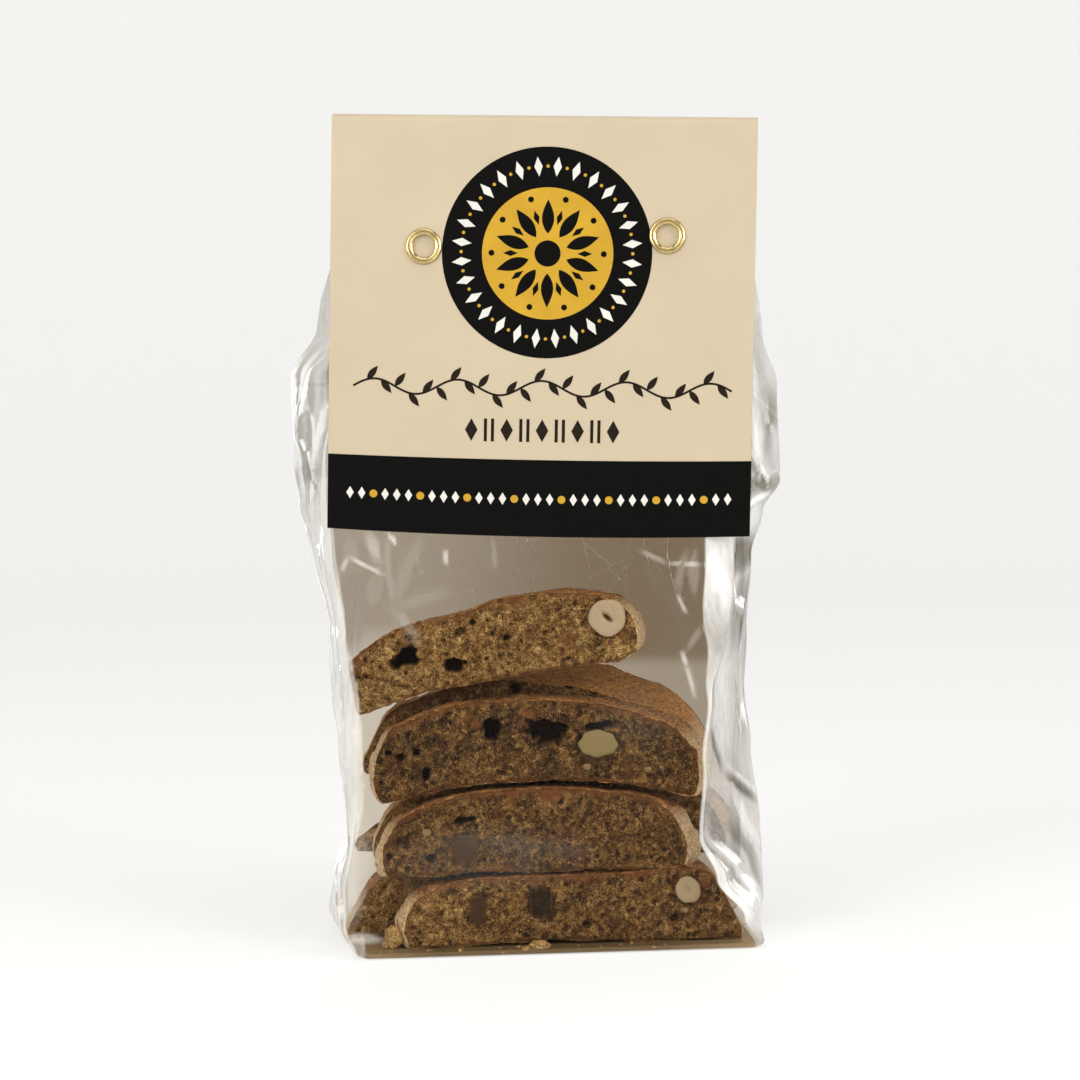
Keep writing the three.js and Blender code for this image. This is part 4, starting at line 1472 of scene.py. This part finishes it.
def film_details(heights, columns):
    """Creases, billows and crumples of each stretch: its lift, its milky veil with painted glare, its
    painted shade and its crease lines.
    """
    z = heights[:, None]
    creases = {name: list(CREASES.get(name, [])) for name, *_ in STRETCHES}
    for seed, (name, count, *range_and_height) in enumerate(RANDOM_CREASES):
        creases[name] += random_creases(count, seed, *range_and_height)
    for number, column in enumerate(columns):
        name, share, s = column["name"], column["share"], column["s"]
        zz = z + 0 * share
        gusset = name.split("_")[-1] in ("front", "back") and "_" in name
        spots = np.stack([s.ravel(), zz.ravel()], 1)
        wide = 0.42 if gusset else 1  # a gusset is seen nearly edge on
        slow = soft_noise(spots * (wide, 0.3), 12.0, 300 + number).reshape(s.shape)
        quick = soft_noise(spots * (wide, 0.5), 3.6, 320 + number).reshape(s.shape)
        nearest, second, own = scattered(spots * (wide, 0.5), 11.0, 340 + number)
        facet = (own.reshape(s.shape) - 0.5) * smooth((second - nearest).reshape(s.shape), 0, 0.5)
        size = {"front": 0.14, "back": 0.5}.get(name, 0.9 if gusset else 0.1)
        lift = size * (0.8 * slow + 0.08 * quick + 0.5 * facet)
        line, mark = np.full(s.shape, 9.0), np.zeros(s.shape)
        for start, end, height, half, white in creases[name]:
            ends = [
                (share_at * np.interp(z_at, heights, column["length"]), z_at)
                for share_at, z_at in (start, end)
            ]
            more, away, strength = crease_effect(s, zz, *ends, height, half)
            lift = lift + more
            away = away * 1.7 / max(half, 1.5)
            mark = np.where(away < line, white * strength, mark)
            line = np.minimum(line, away)
        haze = column["haze"] + 0.03 * quick * gusset
        dark = 0 * s
        # painted highlight: a bright band along the right front crease
        if name == "right_chamfer":
            haze = (haze + 0.3 * smooth(zz, 74, 60) + 0.38 * smooth(zz, 78, 90)) * smooth(zz, 1, 9)
        for share_at, z_at, half_s, half_z, turn, strength in PATCHES.get(name, []):
            middle = share_at * np.interp(z_at, heights, column["length"])
            spot = (middle, z_at, half_s, half_z, turn)
            inside = veil_spot(s, zz, spot) if half_s > 3 else inside_spot(s, zz, spot, 7, 1.3, 0.12)
            haze = haze + max(strength, 0) * inside
            dark = np.maximum(dark, -strength * inside)
        pinned = smooth(np.minimum(share, 1 - share), 0, 0.06)
        calm = smooth(zz, 1, 8) * (1 - 0.9 * smooth(zz, 150, 175))
        if name in ("front", "back"):
            calm = calm * (1 - 0.97 * smooth(zz, CARD["bottom"] - 7, CARD["bottom"] - 1))
            belly = 1.1 * smooth(zz, 4, 30) * (1 - smooth(zz, 70, 100))
            lift = lift + belly * 4 * share * (1 - share)
        crumple = column["crumple"] + 0 * s
        below_ears = smooth(zz, 104, 96)
        step = smooth(zz + 8 * smooth(share, 0.7, 0.5), 79, 74)
        smoke = (1 - 0.39 * smooth(share, 0.3, 0.95)) * (1 - 0.35 * step) * (name == "back")
        smoke = smoke * (1 - 0.8 * smooth(share, 0.8, 0.93) * smooth(zz, 76, 66))
        if name == "left_back":
            smoke = smoke + 0.61 * (share < 0.5) * smooth(zz, 64, 76)
        if name == "right_back":
            smoke = smoke + (share > 0.68)
        if name == "front":
            crumple = crumple + 0.1 * smooth(zz, 80, 96)
        if name == "left_front":
            # painted shade on the left ear
            dark = dark + 0.03 * smooth(zz, 104, 112)
            crumple = crumple - 0.25 * below_ears
            lift = lift * (1 - 0.45 * below_ears * smooth(zz, 34, 42))
        if name == "right_front":
            crumple = crumple - 0.2 * below_ears
            lift = lift * (1 - 0.3 * below_ears)
        if gusset:
            crumple = crumple + 0.6 * smooth(zz, 102, 112)
        column["lift"] = lift * pinned * calm
        column["values"] = {
            "haze": np.clip(haze, 0, 0.85), "line": line, "mark": mark, "crumple": crumple,
            "clear": 0 * s + column["clear"], "smoke": smoke, "shade": dark,
        }


def add_film(material):
    heights, columns = film_rings()
    film_details(heights, columns)
    section = np.concatenate([c["points"] + c["normal"] * c["lift"][..., None] for c in columns], 1)
    values = {
        key: np.concatenate([c["values"][key] for c in columns], 1).ravel() for key in columns[0]["values"]
    }
    rows, around = section.shape[:2]
    z = heights[:, None] + np.zeros((rows, around))
    flat = turned(section[..., 0], section[..., 1], z).reshape(-1, 3)
    flat[:, 2] += FLOOR_GAP
    faces = grid_faces(rows, around)
    faces = faces[~over_bores(flat[faces].mean(1))].tolist()
    faces.append(list(range(around))[::-1])
    film = build("film", flat, faces, [material], values=values)
    hand_over(film, "bag")


def over_bores(points):
    """Which points lie inside an eyelet's bore."""
    inverse = np.array(card_to_pack.inverted())
    local = points @ inverse[:3, :3].T + inverse[:3, 3]
    inside = np.zeros(len(points), bool)
    for across, up in EYELETS.values():
        inside |= np.hypot(local[:, 0] - across, local[:, 2] - up) < EYELET["barrel"]
    return inside


# ---- Header card and its print ------------------------------------------------------

RING = {"middle": (1.3, 70.6), "radius": 26.6}
MEDALLION = {"middle": (1.5, 70.4), "radius": 16.6}
BAND_TOP = 19.0
PRINT_GAP = 0.004  # between the card and the back of the print


def around(middle, radius, angle, shape):
    """Moves a shape drawn about the origin, pointing up, outwards along a radius."""
    cos, sin = math.cos(angle - math.pi / 2), math.sin(angle - math.pi / 2)
    cx, cy = middle[0] + radius * math.cos(angle), middle[1] + radius * math.sin(angle)
    return [(cx + u * cos - w * sin, cy + u * sin + w * cos) for u, w in shape]


def lozenge(half_across, half_up):
    return [(half_across, 0), (0, half_up), (-half_across, 0), (0, -half_up)]


def leaf(length, width, steps=14):
    """A pointed leaf from the origin upwards."""
    side = [
        (width / 2 * math.sin(math.pi * (k / steps) ** 0.85), length * k / steps) for k in range(steps + 1)
    ]
    return side + [(-u, w) for u, w in reversed(side[1:-1])]


def ribbon(path, width):
    """A stroke of even width along a path."""
    left, right = [], []
    for i, (u, w) in enumerate(path):
        before, after = path[max(i - 1, 0)], path[min(i + 1, len(path) - 1)]
        du, dw = after[0] - before[0], after[1] - before[1]
        size = math.hypot(du, dw)
        left.append((u - dw / size * width / 2, w + du / size * width / 2))
        right.append((u + dw / size * width / 2, w - du / size * width / 2))
    return right + left[::-1]


def card_piece(name, shapes, material, near, far):
    """Hands over flat shapes of the header card, between two depths of it."""
    points, faces = prisms(shapes, near, far)
    hand_over(build(name, card_points(points), faces, [material], flat=True))


def print_piece(name, shapes, ink, lift):
    """Flat printed shapes that stand a hair proud of the card."""
    card_piece(name, shapes, ink, CARD_FRONT - lift, CARD_FRONT - PRINT_GAP)


def moved(shape, across, up):
    return [(across + u, up + w) for u, w in shape]


def bow(u):
    return -CARD["bow"] * (1 - (2 * u / CARD["width"]) ** 2)


def add_print():
    half = CARD["width"] / 2
    steps = 24
    across = [half * (2 * k / steps - 1) for k in range(steps + 1)]
    band = [(u, bow(u)) for u in across] + [(u, BAND_TOP + 0.6 * bow(u)) for u in reversed(across)]
    black, gold = ink_material("black", 0.42), ink_material("gold", 0.4)
    white, brown = ink_material("white"), ink_material("brown")
    print_piece("print_black", [band, disc(**RING)], black, 0.03)
    print_piece("print_medallion", [disc(**MEDALLION)], gold, 0.05)
    add_rosette(black)
    add_ring_motifs(white, gold)
    add_vine(brown)
    add_rows(brown, white, gold)


def add_rosette(black):
    """A plain radial flower in the medallion."""
    middle = MEDALLION["middle"]
    petals = 10
    shapes = []
    for k in range(petals):
        angle = 2 * math.pi * k / petals + math.pi / 2
        shapes.append(around(middle, 5.0, angle, leaf(8.6, 3.1)))
        between = angle + math.pi / petals
        shapes.append(around(middle, 9.4, between, lozenge(0.75, 1.9)))
        shapes.append(around(middle, 14.2, between, disc((0, 0), 0.75, 20)))
    shapes.append(disc(middle, 3.3, 40))
    print_piece("print_rosette", shapes, black, 0.07)


def add_ring_motifs(white, gold):
    """Evenly spaced lozenges with dots between them, round the black ring."""
    middle, radius = RING["middle"], 21.7
    count = 28
    lozenges, dots = [], []
    for k in range(count):
        angle = 2 * math.pi * (k + 0.5) / count
        lozenges.append(around(middle, radius, angle, lozenge(1.05, 2.5)))
        dots.append(around(middle, radius, angle + math.pi / count, disc((0, 0), 0.42, 14)))
    print_piece("print_ring_white", lozenges, white, 0.05)
    print_piece("print_ring_gold", dots, gold, 0.05)


def add_vine(brown):
    """A waving stem with paired leaves across the cream field."""
    left, right, height, waves, swing = -47.5, 48.5, 36.4, 4.5, 1.9
    steps = 140

    def stem(share):
        return (left + (right - left) * share, height + swing * math.sin(2 * math.pi * waves * share))

    path = [stem(k / steps) for k in range(steps + 1)]
    shapes = [ribbon(path, 0.55)]
    leaves = 27
    for k in range(1, leaves):
        share = k / leaves
        u, w = stem(share)
        side = 1 if k % 2 else -1
        lean = math.radians(52 if side > 0 else -52)
        shapes.append(around((u, w), 0.0, lean, leaf(4.4, 1.7)))
    print_piece("print_vine", shapes, brown, 0.03)


ROW = {"middle": (0.8, 25.7), "pitch": 4.5, "count": 9, "half_height": 2.9}
BORDER = {"height": 9.5, "pitch": 3.0, "count": 33}


def add_rows(brown, white, gold):
    """A short row of lozenges and bars under the vine, and a border along the band."""
    shapes = []
    (middle, height), tall = ROW["middle"], ROW["half_height"]
    bar = [(-0.4, -tall), (0.4, -tall), (0.4, tall), (-0.4, tall)]
    for k in range(ROW["count"]):
        u = middle + ROW["pitch"] * (k - ROW["count"] // 2)
        if k % 2:
            shapes += [moved(bar, u + aside, height) for aside in (-0.9, 0.9)]
        else:
            shapes.append(moved(lozenge(1.6, tall), u, height))
    print_piece("print_row", shapes, brown, 0.03)
    light, warm = [], []
    for k in range(BORDER["count"]):
        u = BORDER["pitch"] * (k - BORDER["count"] // 2)
        w = BORDER["height"] + bow(u)
        if k % 4 == 2:
            warm.append(moved(disc((0, 0), 1.0, 20), u, w))
        else:
            light.append(moved(lozenge(0.95, 1.55), u, w))
    print_piece("print_border_white", light, white, 0.05)
    print_piece("print_border_gold", warm, gold, 0.05)


# ---- Eyelets ------------------------------------------------------------------------

EYELET = {"bore": 2.75, "barrel": 3.1, "flange": 4.6, "height": 0.85}
CARD_STACK = (-18.0, -14.8)  # outer faces of the front and rear panels at the eyelets
BORE_CARD = {"radius": 2.74, "near": -17.5, "far": -17.3}


def eyelet_profile():
    """Half section of a rolled eyelet as (radius, depth): a rolled rim at the front, a
    barrel through the card, and a rolled washer at the back."""
    front, rear = CARD_STACK
    bore, flange, height = EYELET["bore"], EYELET["flange"], EYELET["height"]
    steps = 28
    middle, half = (bore + flange) / 2, (flange - bore) / 2
    points = []
    for i in range(steps + 1):
        angle = math.pi * (1 - i / steps)
        dent = 0.5 * math.exp(-(((i / steps) - 0.53) / 0.075) ** 2)
        points.append((middle + half * math.cos(angle), front - 0.05 - (height - dent) * math.sin(angle)))
    points.append((flange - 0.25, front - 0.02))
    points.append((EYELET["barrel"], front - 0.02))
    points.append((EYELET["barrel"], rear + 0.02))
    points.append((flange - 0.25, rear + 0.02))
    for i in range(steps + 1):
        angle = math.pi * i / steps
        points.append((middle + half * math.cos(angle), rear + 0.05 + height * math.sin(angle)))
    return points


def add_eyelets(material):
    sides = 72
    profile = eyelet_profile()
    for name, (across, up) in EYELETS.items():
        points = [(u, depth, w) for r, depth in profile for u, w in disc((across, up), r, sides)]
        faces = grid_faces(len(profile), sides)
        last = (len(profile) - 1) * sides
        k = np.arange(sides)
        after = (k + 1) % sides
        faces = np.concatenate([faces, np.stack([last + k, last + after, after, k], 1)])[:, ::-1]
        piece = build(name + "_rim", card_points(points), faces, [material])
        hand_over(piece, name)


def add_bore_card(material):
    """The card that shows inside the eyelets: the rear panel closes their bores."""
    circles = [disc(place, BORE_CARD["radius"], 48) for place in EYELETS.values()]
    card_piece("bore_card", circles, material, BORE_CARD["near"], BORE_CARD["far"])


# ---- Making -------------------------------------------------------------------------

add_camera()
set_up_studio()
add_backdrop()
add_base_card()
add_biscotti()
add_film(film_material())
frame["nodes"]["header_card"].data.materials.clear()
frame["nodes"]["header_card"].data.materials.append(card_material())
add_print()
add_eyelets(brass_material())
add_bore_card(card_material(rear_band=False))
